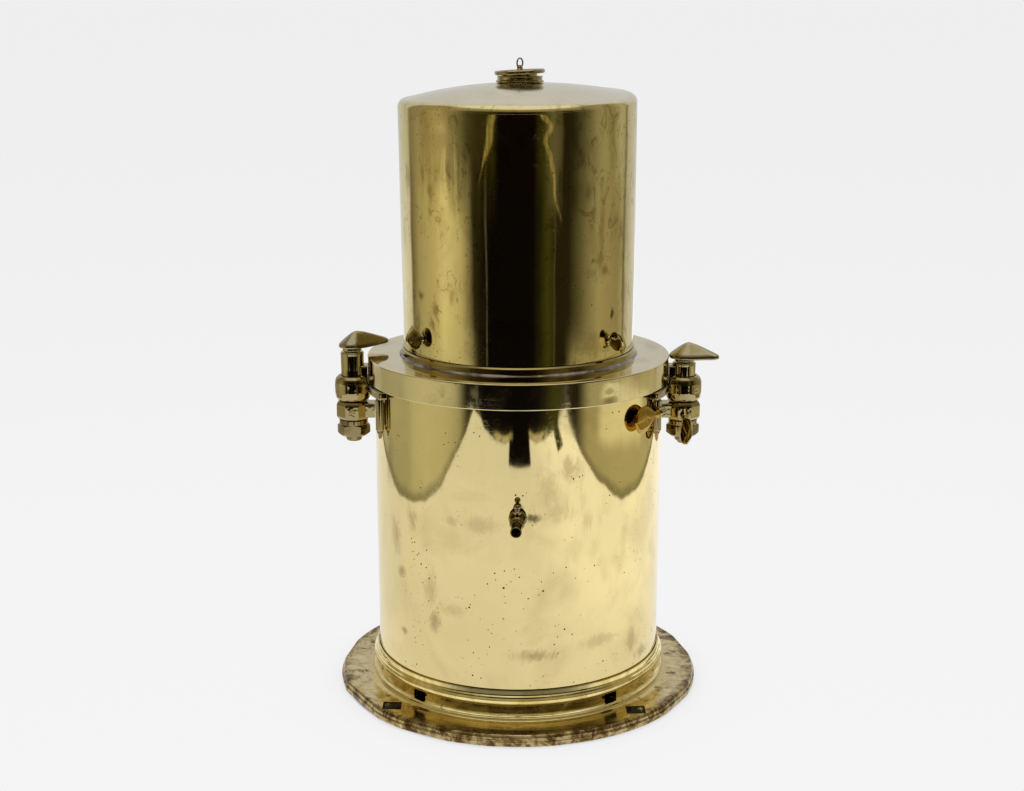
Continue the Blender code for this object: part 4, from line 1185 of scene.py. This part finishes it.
# stations: (distance out, half width, half thickness)
HOOD_SCREW = [(-2.6, 2.0, 2.0), (0.3, 2.0, 2.0), (0.5, 3.4, 2.6), (1.2, 4.8, 2.1),
              (2.6, 6.2, 1.7), (4.6, 6.9, 1.5), (6.8, 6.7, 1.4), (8.8, 5.5, 1.3),
              (10.4, 3.5, 1.1), (11.3, 0.6, 0.4)]
PIN_SCREW = [(2.1, 1.3, 1.3), (4.9, 1.3, 1.3), (5.15, 2.9, 2.9), (7.6, 2.6, 2.6),
             (9.6, 2.4, 1.9), (12.0, 4.2, 1.6), (16.0, 7.0, 1.5), (21.0, 9.2, 1.4),
             (26.0, 9.5, 1.4), (30.5, 8.0, 1.25), (33.6, 4.4, 1.0), (34.8, 0.6, 0.4)]
CLAMP_SCREW = [(-3.6, 1.9, 1.9), (3.3, 1.9, 1.9), (3.55, 3.0, 3.0), (5.2, 2.7, 2.7),
               (6.6, 2.4, 1.9), (9.0, 4.6, 1.6), (13.0, 6.8, 1.5), (18.0, 7.5, 1.4),
               (23.0, 6.4, 1.35), (26.4, 4.0, 1.1), (28.2, 0.6, 0.4)]
HOOD_SCREWS = (("left", -54.0, 18.0), ("right", 49.0, 8.0),     # (side, azimuth, roll)
               ("rear", 177.5, 8.0))
SCREW_Z = 268.5
WASHER_R = HOOD_R + 0.3


def thumbscrew(stations, origin, out, seed, roll=0.0, seg=48, count=44):
    """Round shank flattening into a paddle."""
    places = np.linspace(stations[0][0], stations[-1][0], count)
    loops = []
    for place, (half_width, half_thick) in zip(places, spline(places, stations)):
        half_width, half_thick = max(half_width, 0.05), max(half_thick, 0.05)
        flat = min(1.0, max(0.0, half_width / half_thick - 1.2) / 2.0)
        power = 1.0 - 0.28 * flat
        loop = []
        for i in range(seg):
            turn = 2 * math.pi * i / seg
            cosine = math.cos(turn)
            loop.append((half_thick * math.copysign(abs(cosine) ** power, cosine),
                         half_width * math.sin(turn), place))
        loops.append(loop)
    ob = skin(loops, frame_at(origin, out) @ Matrix.Rotation(math.radians(roll), 4, 'Z'))
    return rough_up(ob, 0.05, 0.3, seed)


for side, azimuth, roll in HOOD_SCREWS:
    out = polar(1.0, azimuth)
    piece(ring([(4.0, 0.1), (4.0, 0.7, 0.2), (3.3, 1.5, 0.3), (2.3, 1.5, 0.1), (2.3, 0.1, 0.0)],
               48, matrix=frame_at(polar(WASHER_R, azimuth, SCREW_Z), out),
               corner=0.1, step=0.8), "screw_boss_" + side, AGED_BRASS, 40)
    piece(thumbscrew(HOOD_SCREW, polar(WASHER_R + 0.6, azimuth, SCREW_Z), out, 11, roll),
          "hood_thumbscrew_" + side, HOOD_SCREW_BRASS, 60)
piece(thumbscrew(PIN_SCREW, lock_at, lock_out, seed=12), "pin_lock_screw", GOLD_BRASS, 60)
piece(thumbscrew(CLAMP_SCREW, clamp_at, clamp_out, seed=13, roll=-30.0), "catch_lock_screw",
      CLAMP_SCREW_BRASS, 60)

# --------------------------------------------------------------------- hood

SHOULDER_R, SHOULDER_Z, APEX, HOOD_WALL, VENT_R = 6.2, 424.3, 442.4, 2.0, 13.6
DOME_EDGE = HOOD_R - SHOULDER_R
DOME_RISE = APEX - (SHOULDER_Z + SHOULDER_R)
DOME_R = (DOME_EDGE ** 2 + DOME_RISE ** 2) / (2 * DOME_RISE)
WINDOW_HALF = 32.0      # half the window's width in degrees of azimuth
WINDOW_Z0, WINDOW_Z1 = box("window_glass")[0].z, box("window_glass")[1].z
hood_wave = waves(21, 0.075, 8, (50.0, 170.0), 16)
hood_fine = waves(22, 0.02, 16, (22.0, 60.0), 12)
hood_dent = dents([(-40, 414, 6, 0.14), (16, 416, 7, 0.16), (30, 380, 9, 0.10),
                   (-58, 350, 8, 0.08), (60, 300, 9, 0.10), (130, 330, 14, 0.2),
                   (-130, 300, 14, 0.2)])
dome_wave = waves(23, 0.12, 7, (30.0, 90.0), 12)


def dome_z(radius, inset=0.0):
    sphere_r = DOME_R - inset
    return APEX - DOME_R + math.sqrt(sphere_r * sphere_r - radius * radius)


def hood_section():
    points = profile([(HOOD_R, HOOD_Z0), (HOOD_R, SHOULDER_Z)], closed=False, step=3.0)[:-1]
    points += arc(DOME_EDGE, SHOULDER_Z, SHOULDER_R, 0, 72, 14)
    start = points[-1][0]
    for i in range(1, 25):
        radius = start + (VENT_R - start) * i / 24
        top = dome_z(radius)
        ease = max(0.0, 1 - i / 5.0)      # eases off the shoulder
        if ease > 0:
            top = top * (1 - ease * 0.5) + (points[-1][1] + 0.6) * ease * 0.5
        points.append((radius, top))
    for i in range(9):
        radius = VENT_R + (DOME_EDGE - 6.0 - VENT_R) * i / 8
        points.append((radius, dome_z(radius, HOOD_WALL)))
    points += arc(DOME_EDGE, SHOULDER_Z, SHOULDER_R - HOOD_WALL, 72, 0, 8)
    inner = HOOD_R - HOOD_WALL
    return points + profile([(inner, SHOULDER_Z - 2), (inner, HOOD_Z0)], closed=False,
                            step=12.0)


def hood_wob(radius, z, angle):
    edge = (np.clip((z - HOOD_Z0) / 10.0, 0, 1) *
            np.clip((SHOULDER_Z - 4 - z) / 12.0, 0, 1))
    push = hood_wave(angle, z) + hood_fine(angle, z) + hood_dent(radius, z, angle)
    radii = radius + push * edge
    up = (np.clip((z - SHOULDER_Z - SHOULDER_R) / 4.0, 0, 1) *
          np.clip((radius - VENT_R - 4.0) / 8.0, 0, 1))
    # the top is a little out of true: fuller behind and to the right, and the
    # wall swells slightly on the left
    lift = np.clip((z - 384.0) / 40.0, 0, 1) * (radius / HOOD_R) ** 2
    warp = (3.4 + 1.8 * np.cos(angle)) * (1.0 + np.sin(angle)) * lift
    bulge = (1.7 * np.clip((z - 275.0) / 150.0, 0, 1) * np.clip(-np.cos(angle), 0, 1) ** 2 *
             (radius / HOOD_R) ** 2)
    return radii + bulge, z - np.abs(dome_wave(angle, radius)) * up + warp


def window_sector(inner, outer, widen, bottom, top, steps, rows):
    """Curved bar round the window's azimuth, widened by degrees each side."""
    return sector(inner, outer, 180 - WINDOW_HALF - widen, 180 + WINDOW_HALF + widen,
                  bottom, top, steps, rows)


hood = turned(hood_section(), SHELL_SEG, wob=hood_wob)
cut(hood, window_sector(78.0, 88.0, 0.4, WINDOW_Z0 - 0.6, WINDOW_Z1 + 0.6, 40, 4))
for _, azimuth, _ in HOOD_SCREWS:
    cut(hood, bar(polar(78.0, azimuth, SCREW_Z), polar(88.0, azimuth, SCREW_Z), 2.4, 32))
piece(hood, "hood_shell", HOOD_BRASS, 40)

piece(window_sector(81.9, 83.2, 0.0, WINDOW_Z0, WINDOW_Z1, 48, 6), "window_glass", GLASS, 40)
low, high = box("window_frame")
surround = window_sector(HOOD_R + 0.4, HOOD_R + 2.8, 4.5, low.z, high.z, 56, 8)
cut(surround, window_sector(80.0, 92.0, -1.2, WINDOW_Z0 + 2, WINDOW_Z1 - 2, 48, 4))
bevel(surround, 0.6, 3, 40)
piece(surround, "window_frame", AGED_BRASS, 40)

# ------------------------------------------------------------ vent and cap

low, high = box("vent_neck")
VENT_X = (low.x + high.x) / 2
neck_wave = waves(31, 0.22, 9, (5.0, 14.0), 12)
cap_wave = waves(32, 0.25, 7, (6.0, 16.0), 12)


def neck_wob(radius, z, angle):
    return radius - np.abs(neck_wave(angle, z)) * (radius > 15.5), z


def cap_wob(radius, z, angle):
    on_top = (z > 0.2) & (radius > 3.0)
    return (radius - np.abs(cap_wave(angle, z)) * (radius > 16.5),
            z - 0.5 * np.abs(cap_wave(angle, radius)) * on_top)


piece(ring([(16.9, 442.4, 0.2), (16.9, 443.5, 0.4), (15.9, 444.3, 0.3), (15.9, 446.0, 0.3),
            (16.6, 446.8, 0.3), (VENT_R, 446.8, 0.3), (VENT_R, 442.4, 0.1)], 120, wob=neck_wob,
           matrix=Matrix.Translation((VENT_X, 0, 0)), corner=0.2, step=0.6),
      "vent_neck", VENT_BRASS, 45)
cap_frame = (Matrix.Translation((VENT_X, 0, 448.0)) @
             Matrix.Rotation(math.radians(-2.9), 4, 'Y'))
piece(solid([(0, -3.4), (12.2, -3.4, 0.4), (12.2, 0.0, 0.2), (17.1, 0.0, 0.3), (17.8, 0.8, 0.4),
             (17.8, 2.2, 0.5), (17.0, 3.0, 0.4), (15.4, 2.7, 0.6), (13.2, 1.5, 0.8),
             (9.0, 1.4, 0.5), (0, 1.3)], 120, wob=cap_wob, matrix=cap_frame,
            corner=0.2, cuts=4, step=0.9), "vent_cap", VENT_BRASS, 45)

# eye on the cap, and the wire ring through it
EYE_R, WIRE_R, RING_R = 2.0, 0.58, 3.3
eye_out = Vector((0.6, 0.8, 0.0))
eye_side = Vector((-0.8, 0.6, 0.0))
eye_at = Vector((VENT_X, 0, 452.3))
eye_outline = [(-EYE_R, -2.5), (EYE_R, -2.5)] + arc(0.0, 0.0, EYE_R, 0, 180, 20)
eye = skin([[eye_at + eye_out * depth + eye_side * across + Vector((0, 0, up))
             for across, up in eye_outline] for depth in (-0.8, 0.8)])
cut(eye, bar(eye_at - eye_out * 3, eye_at + eye_out * 3, 1.15, 32))
bevel(eye, 0.22, 2, 40)
piece(eye, "cap_eye", AGED_BRASS, 40)
loops = []
for i in range(72):
    angle = 2 * math.pi * i / 72
    radial = eye_out * math.sin(angle) + Vector((0, 0, -math.cos(angle)))
    centre = eye_at + Vector((0, 0, RING_R)) + radial * RING_R
    loops.append([centre + radial * (WIRE_R * math.cos(2 * math.pi * k / 16)) +
                  eye_side * (WIRE_R * math.sin(2 * math.pi * k / 16)) for k in range(16)])
piece(skin(loops, closed=True), "cap_ring", STEEL, 60)

# ----------------------------------------------------------------- gimbals

PIVOT_Z = 200.0
for side, sign in SIDES:
    bearing = brick((sign * 99.6, 0, 194.0), (8.4, 13.0, 18.0), edge=0.9)
    boolean(bearing, square_ring(40.0, 102.7, 180.0, 210.0, 160), 'INTERSECT')
    cut(bearing, brick((sign * 99.6, 0, 202.0), (12.0, 4.9, 8.8), edge=1.0))
    piece(bearing, "gimbal_bearing_" + side, GIMBAL_BRASS, 38)
    piece(solid([(0, 0), (1.7, 0, 0.3), (2.0, 0.5, 0.2), (2.0, 11.6, 0.3), (1.5, 12.2, 0.2),
                 (0, 12.2)], 40, matrix=frame_at((sign * 88.8, 0, PIVOT_Z), (sign, 0, 0)),
                corner=0.2, step=1.5), "gimbal_pivot_" + side, STEEL, 45)

gimbal = ring([(94.0, PIVOT_Z - 4, 0.7), (94.0, PIVOT_Z + 4, 0.7), (88.0, PIVOT_Z + 4, 0.7),
               (88.0, PIVOT_Z - 4, 0.7)], 200, cuts=4, step=1.8)
cut(gimbal, bar((-99, 0, PIVOT_Z), (99, 0, PIVOT_Z), 2.35, 32))
cut(gimbal, bar((0, -99, PIVOT_Z), (0, 99, PIVOT_Z), 2.35, 32))
piece(gimbal, "gimbal_ring", GIMBAL_BRASS, 40)

# -------------------------------------------------------------------- bowl

piece(solid([(0, 150.0), (58.0, 150.0, 6.0), (71.0, 155.0, 8.0), (76.0, 167.0, 6.0),
             (76.0, 212.0, 0.4), (74.0, 212.0, 0.4), (74.0, 167.6, 5.0), (69.4, 156.8, 7.0),
             (57.4, 152.2, 5.0), (0, 152.2)], 192, cuts=8), "compass_bowl", GIMBAL_BRASS, 40)
BEZEL_TOP = 215.5
piece(ring([(78.4, 212.4, 0.3), (78.4, 214.5, 0.5), (77.2, BEZEL_TOP, 0.4),
            (71.8, BEZEL_TOP, 0.4), (70.4, 214.3, 0.3), (70.4, 212.4, 0.2)], 192,
           cuts=4, step=1.5), "bowl_bezel", GIMBAL_BRASS, 40)
for k in range(8):
    place = polar(74.6, 22.5 + 45 * k, BEZEL_TOP)
    screw = solid([(0, 0.02), (1.7, 0.02, 0.1), (1.7, 0.5, 0.3), (0, 0.75)], 32,
                  matrix=Matrix.Translation(place), corner=0.1, step=0.6)
    cut(screw, brick((place.x, place.y, place.z + 0.75), (4.0, 0.45, 0.6), 20 + 31 * k))
    piece(screw, None, STEEL, 40, "bezel_screw_%d" % k, "bowl", "steel")
piece(solid([(0, 208.8), (73.6, 208.8, 0.3), (73.6, 211.9, 0.4), (0, 211.9)], 128, step=9.0),
      "bowl_glass", GLASS, 40)
piece(bar((0, 72.6, 171.0), (0, 72.6, 208.3), 0.8, 24), "lubber_pin", STEEL, 45)
for side, sign in (("front", -1.0), ("back", 1.0)):
    piece(solid([(0, 0), (2.0, 0, 0.2), (2.0, 16.6, 0.4), (0, 17.0)], 40,
                matrix=frame_at((0, sign * 76.4, PIVOT_Z), (0, sign, 0)), corner=0.2,
                step=2.0), "bowl_pivot_" + side, STEEL, 45)
piece(solid([(0, 152.6), (7.0, 152.6, 0.3), (7.0, 155.0, 0.5), (2.4, 158.0, 1.5),
             (1.6, 184.0, 1.0), (0.5, 190.3, 0.3), (0, 190.6)], 48, step=2.0),
      "card_pivot", STEEL, 45)
piece(solid([(0, 140.5), (26.0, 140.5, 1.0), (29.0, 142.0, 1.0), (29.0, 148.4, 0.8),
             (27.6, 149.6, 0.5), (0, 149.6)], 96, step=2.5), "bowl_ballast", LEAD, 40)

# ------------------------------------------------------------ compass card

CARD_R, CARD_Z, TICK_OUTER = 66.0, 194.1, 64.6
INK_Z0, INK_Z1 = CARD_Z + 0.01, CARD_Z + 0.07
piece(ring([(CARD_R, CARD_Z - 0.6, 0.1), (CARD_R, CARD_Z, 0.1), (6.2, CARD_Z, 0.1),
            (6.2, CARD_Z - 0.6, 0.1)], 180, cuts=2, step=6.0), "compass_card", ENAMEL, 40)


def ink_slab(bm, outline):
    outline = outline[::-1]
    bottom = [bm.verts.new((x, y, INK_Z0)) for x, y in outline]
    top = [bm.verts.new((x, y, INK_Z1)) for x, y in outline]
    bm.faces.new(list(reversed(bottom)))
    bm.faces.new(top)
    for i in range(len(outline)):
        j = (i + 1) % len(outline)
        bm.faces.new((bottom[i], bottom[j], top[j], top[i]))


def card_marks():
    """Ticks every two degrees and a star of sixteen rays."""
    bm = bmesh.new()
    for degrees in range(0, 360, 2):
        length, half = ((6.5, 0.45) if degrees % 30 == 0 else
                        (4.6, 0.30) if degrees % 10 == 0 else (2.6, 0.18))
        cosine, sine = math.cos(math.radians(degrees)), math.sin(math.radians(degrees))
        inner = TICK_OUTER - length
        ink_slab(bm, [(radius * cosine - side * sine, radius * sine + side * cosine)
                      for radius, side in ((inner, half), (inner, -half),
                                           (TICK_OUTER, -half), (TICK_OUTER, half))])
    waist = 11.5
    for k in range(16):
        angle = math.radians(22.5 * k)
        tip, spread = (42.0, 9.0) if k % 4 == 0 else (34.0, 8.0) if k % 2 == 0 else (24.0, 6.0)
        side = angle + math.radians(spread) * 1.6
        ink_slab(bm, [(waist * 0.72 * math.cos(angle), waist * 0.72 * math.sin(angle)),
                      (waist * math.cos(side), waist * math.sin(side)),
                      (tip * math.cos(angle), tip * math.sin(angle))])
    bmesh.ops.recalc_face_normals(bm, faces=bm.faces)
    return from_bmesh(bm, bpy.data.meshes.new("part"))


def card_number(degrees):
    curve = bpy.data.curves.new("number", 'FONT')
    curve.body = str(degrees)
    curve.size = 7.0
    curve.align_x, curve.align_y = 'CENTER', 'CENTER'
    curve.extrude = 0.03
    curve.resolution_u = 3
    text = link(curve)
    mesh = evaluated_mesh(text)
    bpy.data.objects.remove(text)
    bpy.data.curves.remove(curve)
    bm = bmesh.new()
    bm.from_mesh(mesh)
    bmesh.ops.remove_doubles(bm, verts=bm.verts, dist=0.0005)
    angle = math.radians(90.0 - degrees)
    bm.transform(Matrix.Translation((52.5 * math.cos(angle), 52.5 * math.sin(angle),
                                     CARD_Z + 0.045)) @
                 Matrix.Rotation(angle - math.pi / 2, 4, 'Z'))
    return from_bmesh(bm, mesh)


piece(card_marks(), None, INK, 30, "card_marks", "card", "card_enamel")
for degrees in range(0, 360, 30):
    piece(card_number(degrees), None, INK, 30, "card_number_%03d" % degrees, "card",
          "card_enamel")

piece(solid([(0, 191.4), (2.6, 187.4, 0.3), (5.6, 187.4, 0.3), (5.6, 195.4, 0.5),
             (4.4, 197.1, 0.8), (0, 197.8)], 64, step=1.2), "card_cap", GIMBAL_BRASS, 45)
piece(ring([(6.0, 193.1, 0.2), (24.0, 193.1, 0.3), (24.0, 191.6, 0.5), (15.0, 186.4, 2.0),
            (6.0, 186.4, 0.3)], 96, cuts=5, step=2.0), "card_float", GIMBAL_BRASS, 40)
for side, sign in SIDES:
    piece(brick((sign * 11.0, 0, 183.7), (4.2, 62.0, 4.6), edge=0.5),
          "card_magnet_" + side, STEEL, 40)

# ------------------------------------------------------- studio and floor

# Colour of the room round the compass: (azimuth, colour)
ROOM_LOW = [
    (-180, (0.72, 0.72, 0.72)), (-150, (0.82, 0.82, 0.80)), (-130, (0.70, 0.70, 0.68)),
    (-126.5, (0.18, 0.15, 0.10)), (-122, (0.24, 0.20, 0.12)), (-112, (0.42, 0.38, 0.24)),
    (-88, (0.62, 0.56, 0.34)), (-77, (0.86, 0.79, 0.54)), (-58, (0.60, 0.55, 0.35)),
    (-51, (0.34, 0.31, 0.20)), (-43.5, (0.030, 0.026, 0.012)), (-32.2, (0.008, 0.006, 0.004)),
    (-31.2, (0.14, 0.13, 0.10)), (-30.2, (0.004, 0.003, 0.003)), (14, (0.004, 0.003, 0.003)),
    (20, (0.018, 0.016, 0.006)), (28, (0.055, 0.055, 0.009)), (34.8, (0.035, 0.030, 0.010)),
    (35.6, (0.13, 0.12, 0.09)), (36.4, (0.020, 0.016, 0.006)), (50, (0.022, 0.018, 0.008)),
    (62, (0.12, 0.11, 0.06)), (72, (0.25, 0.225, 0.145)), (84, (0.38, 0.35, 0.22)),
    (97, (0.36, 0.31, 0.20)), (114, (0.32, 0.28, 0.17)), (122, (0.42, 0.39, 0.27)),
    (126, (0.16, 0.14, 0.09)), (130, (0.52, 0.51, 0.46)), (142, (0.66, 0.66, 0.64)),
    (180, (0.72, 0.72, 0.72))]
ROOM_HIGH = [
    (-180, (0.66, 0.66, 0.66)), (-150, (0.62, 0.63, 0.62)), (-131, (0.58, 0.58, 0.52)),
    (-125, (0.25, 0.22, 0.15)), (-110, (0.38, 0.33, 0.22)), (-98, (0.33, 0.27, 0.14)),
    (-86, (0.42, 0.36, 0.20)), (-75, (0.42, 0.36, 0.22)), (-66, (0.29, 0.26, 0.16)),
    (-57, (0.18, 0.165, 0.09)), (-49, (0.075, 0.068, 0.034)), (-40, (0.045, 0.036, 0.014)),
    (-24, (0.032, 0.028, 0.005)), (-19, (0.005, 0.003, 0.003)), (15, (0.005, 0.003, 0.003)),
    (24, (0.045, 0.040, 0.010)), (33, (0.14, 0.13, 0.07)), (41, (0.09, 0.08, 0.045)),
    (44, (0.018, 0.014, 0.005)), (54, (0.026, 0.022, 0.010)), (63, (0.085, 0.08, 0.045)),
    (72, (0.18, 0.165, 0.10)), (82, (0.32, 0.30, 0.20)), (92, (0.37, 0.34, 0.225)),
    (103, (0.32, 0.28, 0.16)), (117, (0.48, 0.46, 0.36)), (124, (0.44, 0.42, 0.32)),
    (128, (0.20, 0.18, 0.12)), (132, (0.52, 0.52, 0.48)), (150, (0.62, 0.62, 0.60)),
    (180, (0.66, 0.66, 0.66))]
# Slanting streaks: (azimuth, slope, half width, lowest elevation), in degrees
STREAKS = ((-24.2, 4.6, 3.6, -5.8), (23.4, -5.0, 3.2, -6.8))


def studio_group():
    """Colour of the room for a ray direction."""
    tree = bpy.data.node_groups.new("studio", 'ShaderNodeTree')
    tree.interface.new_socket("Direction", in_out='INPUT', socket_type='NodeSocketVector')
    tree.interface.new_socket("Color", in_out='OUTPUT', socket_type='NodeSocketColor')
    net = Net(tree)
    x, y, z = net.get('NodeGroupInput').split()
    azimuth = net.math('ARCTAN2', x, y * -1.0)                  # radians
    elevation = net.math('ARCSINE', z) * (180.0 / math.pi)      # degrees
    ripple = net.get('ShaderNodeCombineXYZ', 0, {0: azimuth * 4.0, 1: elevation * 0.10, 2: 0.0})
    ripple = ripple.noise(2.2, detail=4.0, rough=0.6, distort=0.5)
    turn = (azimuth + (ripple - 0.5) * 0.05) * (1.0 / (2 * math.pi)) + 0.5
    low, high = [turn.ramp([((degrees + 180.0) / 360.0, colour) for degrees, colour in table])
                 for table in (ROOM_LOW, ROOM_HIGH)]
    # the low table shows steeply below the horizon, the high one nearer it
    room = (elevation + (ripple - 0.5) * 5.0).step(-7.2, -4.2).mix(low, high)
    # further down it is lighter and greyer at the left, and out at the right
    deep = elevation.step(-10.5, -13.0)
    left = deep * azimuth.step(-0.80, -1.05)
    room = (left * 0.45).mix(room, (0.76, 0.76, 0.60))
    room = (deep * azimuth.step(-0.66, -0.86) * 0.72).mix(room, (0.52, 0.49, 0.33))
    right = deep * azimuth.step(0.76, 1.00)
    room = (right * 0.80).mix(room, (0.52, 0.48, 0.30))
    band = elevation + (ripple - 0.5) * 0.7
    glare = (band.step(-12.8, -13.2) * band.step(-15.4, -14.2) * azimuth.step(1.08, 1.24) *
             azimuth.step(2.1, 1.9))
    room = (glare * 0.9).mix(room, (0.90, 0.86, 0.66))
    room = (left * azimuth.step(-1.55, -1.75) * 0.4).mix(room, (0.30, 0.29, 0.20))
    azimuth_degrees = azimuth * (180.0 / math.pi)
    fall = elevation + 3.1
    for start, slope, half, lowest in STREAKS:
        off = azimuth_degrees - net.math('MULTIPLY_ADD', fall, slope, start)
        off = off + (ripple - 0.5) * 2.0
        girth = elevation.step(lowest, -3.2, low=half * 0.12, high=half)
        streak = (off.abs() / girth).step(1.0, 0.7) * elevation.step(lowest - 0.3, lowest + 0.5)
        room = streak.mix(room, ripple.step(0.42, 0.6).mix((0.20, 0.17, 0.06),
                                                           (0.40, 0.34, 0.14)))
    # above the horizon: the walls, then a pale ceiling with a soft box
    back = azimuth.abs().step(2.10, 2.35)
    wall = (back * elevation.step(0.0, 14.0)).mix(room, (0.60, 0.60, 0.61))
    ceiling = elevation.step(18.0, 48.0).mix(wall, back.mix((0.34, 0.31, 0.22),
                                                            (0.68, 0.68, 0.69)))
    top = elevation.step(52.0, 66.0).mix(ceiling, (0.92, 0.91, 0.89))
    net.add('NodeGroupOutput', {0: top})
    return tree


STUDIO = studio_group()


def studio_colour(direction):
    return direction.net.get('ShaderNodeGroup', 0, {0: direction}, node_tree=STUDIO)


def backdrop(direction):
    """Near-white card for camera rays, a touch brighter low down."""
    z = direction.split()[2]
    return z.step(-0.46, 0.02).mix((0.913, 0.913, 0.913), (0.86, 0.86, 0.862))


def camera_ray(net):
    return net.get('ShaderNodeLightPath', 'Is Camera Ray')


world = bpy.data.worlds.new("studio_world")
bpy.context.scene.world = world
net = clear_net(world)
direction = net.get('ShaderNodeTexCoord', 'Generated')
sky = camera_ray(net).mix(studio_colour(direction), backdrop(direction))
net.add('ShaderNodeOutputWorld', {0: net.get('ShaderNodeBackground', 0, {0: sky})})


def between(value, start, end, soft):
    return value.step(start - soft, start + soft) * value.step(end + soft, end - soft)


def table_reflection(net, place, direction, x, y, flange_shadow):
    """What polished brass sees below: a pale table and the room past its edges."""
    wavy = (place.noise(5.0) - 0.5) * 0.05
    wavy_x = x + wavy
    across = (x - 0.02).abs()
    bow = across.step(0.10, 0.17) * across.step(0.50, 0.42) * 0.030
    edge_y = y + wavy - bow
    on_table = between(wavy_x, -0.58, 0.60, 0.006) * between(edge_y, -0.88, 40.0, 0.006)
    notch = between(x, -0.10, 0.12, 0.008) * y.step(-0.765, -0.775)
    mark = between(x, 0.40, 0.47, 0.006) * y.step(-0.725, -0.735)
    on_table = on_table * (1.0 - notch) * (1.0 - mark)
    tone = x.step(0.05, 0.40).mix((0.90, 0.885, 0.86), (1.13, 1.12, 1.10))
    patches = place.noise(7.0, detail=3.0).step(0.5, 0.7) * 0.5
    # the table is darkened under the flange, a painted shadow
    table = patches.mix(tone, (0.82, 0.80, 0.76)).tinted(flange_shadow.step(0.0, 1.0, low=0.03))
    # the table's edge is a dark line at its sides and a brass-coloured one in front
    side_gap = (wavy_x - 0.01).abs() - 0.59
    side_line = side_gap.step(0.055, 0.012) * side_gap.step(-0.02, 0.004) * y.step(-0.93, -0.88)
    outside = (side_line * 0.6).mix(studio_colour(direction), (0.13, 0.12, 0.075))
    front_gap = -0.88 - edge_y
    front_line = (front_gap.step(0.050, 0.030) * front_gap.step(0.002, 0.010) *
                  across.step(0.34, 0.26) * across.step(0.07, 0.12))
    broken = place.noise(12.0).step(0.40, 0.56)
    outside = (front_line * broken).mix(outside, (0.60, 0.55, 0.33))
    return on_table.mix(outside, table)


def floor_material():
    """Backdrop with a contact shadow to the camera, a table to other rays."""
    material = bpy.data.materials.new("pale_table")
    net = clear_net(material)
    geometry = net.add('ShaderNodeNewGeometry')
    place = Signal(net, geometry.outputs['Position'])
    incoming = Signal(net, geometry.outputs['Incoming'])
    ray = net.get('ShaderNodeVectorMath', 0, {0: incoming, 'Scale': -1.0}, operation='SCALE')
    x, y, _ = place.split()
    occlusion = net.get('ShaderNodeAmbientOcclusion', 'AO', {'Distance': 0.09}, samples=8)
    # painted shadow under the flange
    flange_shadow = (x * x + y * y).sqrt().step(0.1290, 0.1330, low=0.008)
    contact = occlusion.step(0.25, 0.95, low=0.80) * flange_shadow
    seen = table_reflection(net, place, ray, x, y, flange_shadow)
    shaders = [net.get('ShaderNodeEmission', 0, {0: colour})
               for colour in (seen, backdrop(ray).tinted(contact))]
    pick = net.get('ShaderNodeMixShader', 0, enumerate((camera_ray(net), *shaders)))
    net.add('ShaderNodeOutputMaterial', {0: pick})
    return material


floor_mesh = bpy.data.meshes.new("floor")
floor_mesh.from_pydata([(-1.6, -1.3, -0.0004), (1.6, -1.3, -0.0004), (1.6, 2.6, -0.0004),
                        (-1.6, 2.6, -0.0004)], [], [(0, 1, 2, 3)])
floor = link(floor_mesh)
floor.name = "studio_floor"
floor_mesh.materials.append(floor_material())

# one soft light overhead, for the matt pieces; polished ones mirror the room
LIGHT_AT, LIGHT_AIM = Vector((-0.3, -0.5, 2.0)), Vector((0, 0, 0.2))
lamp = bpy.data.lights.new("top_light", 'AREA')
lamp.size = 1.4
lamp.energy = 10.0
light = bpy.data.objects.new("top_light", lamp)
light.location = LIGHT_AT
light.rotation_mode = 'QUATERNION'
light.rotation_quaternion = (LIGHT_AIM - LIGHT_AT).to_track_quat('-Z', 'Y')
light.visible_camera = False
light.visible_glossy = False
bpy.context.collection.objects.link(light)

# ------------------------------------------------------------------ camera

lens = bpy.data.cameras.new("camera")
lens.lens = 54.5
lens.sensor_width = 36.0
lens.clip_start, lens.clip_end = 0.02, 100.0
camera = bpy.data.objects.new("camera", lens)
camera.location = (-0.0046, -1.1107, 0.4787)
camera.rotation_euler = (math.radians(76.70), 0.0, 0.0)
bpy.context.collection.objects.link(camera)
bpy.context.scene.camera = camera
bpy.context.scene.view_settings.view_transform = 'Standard'
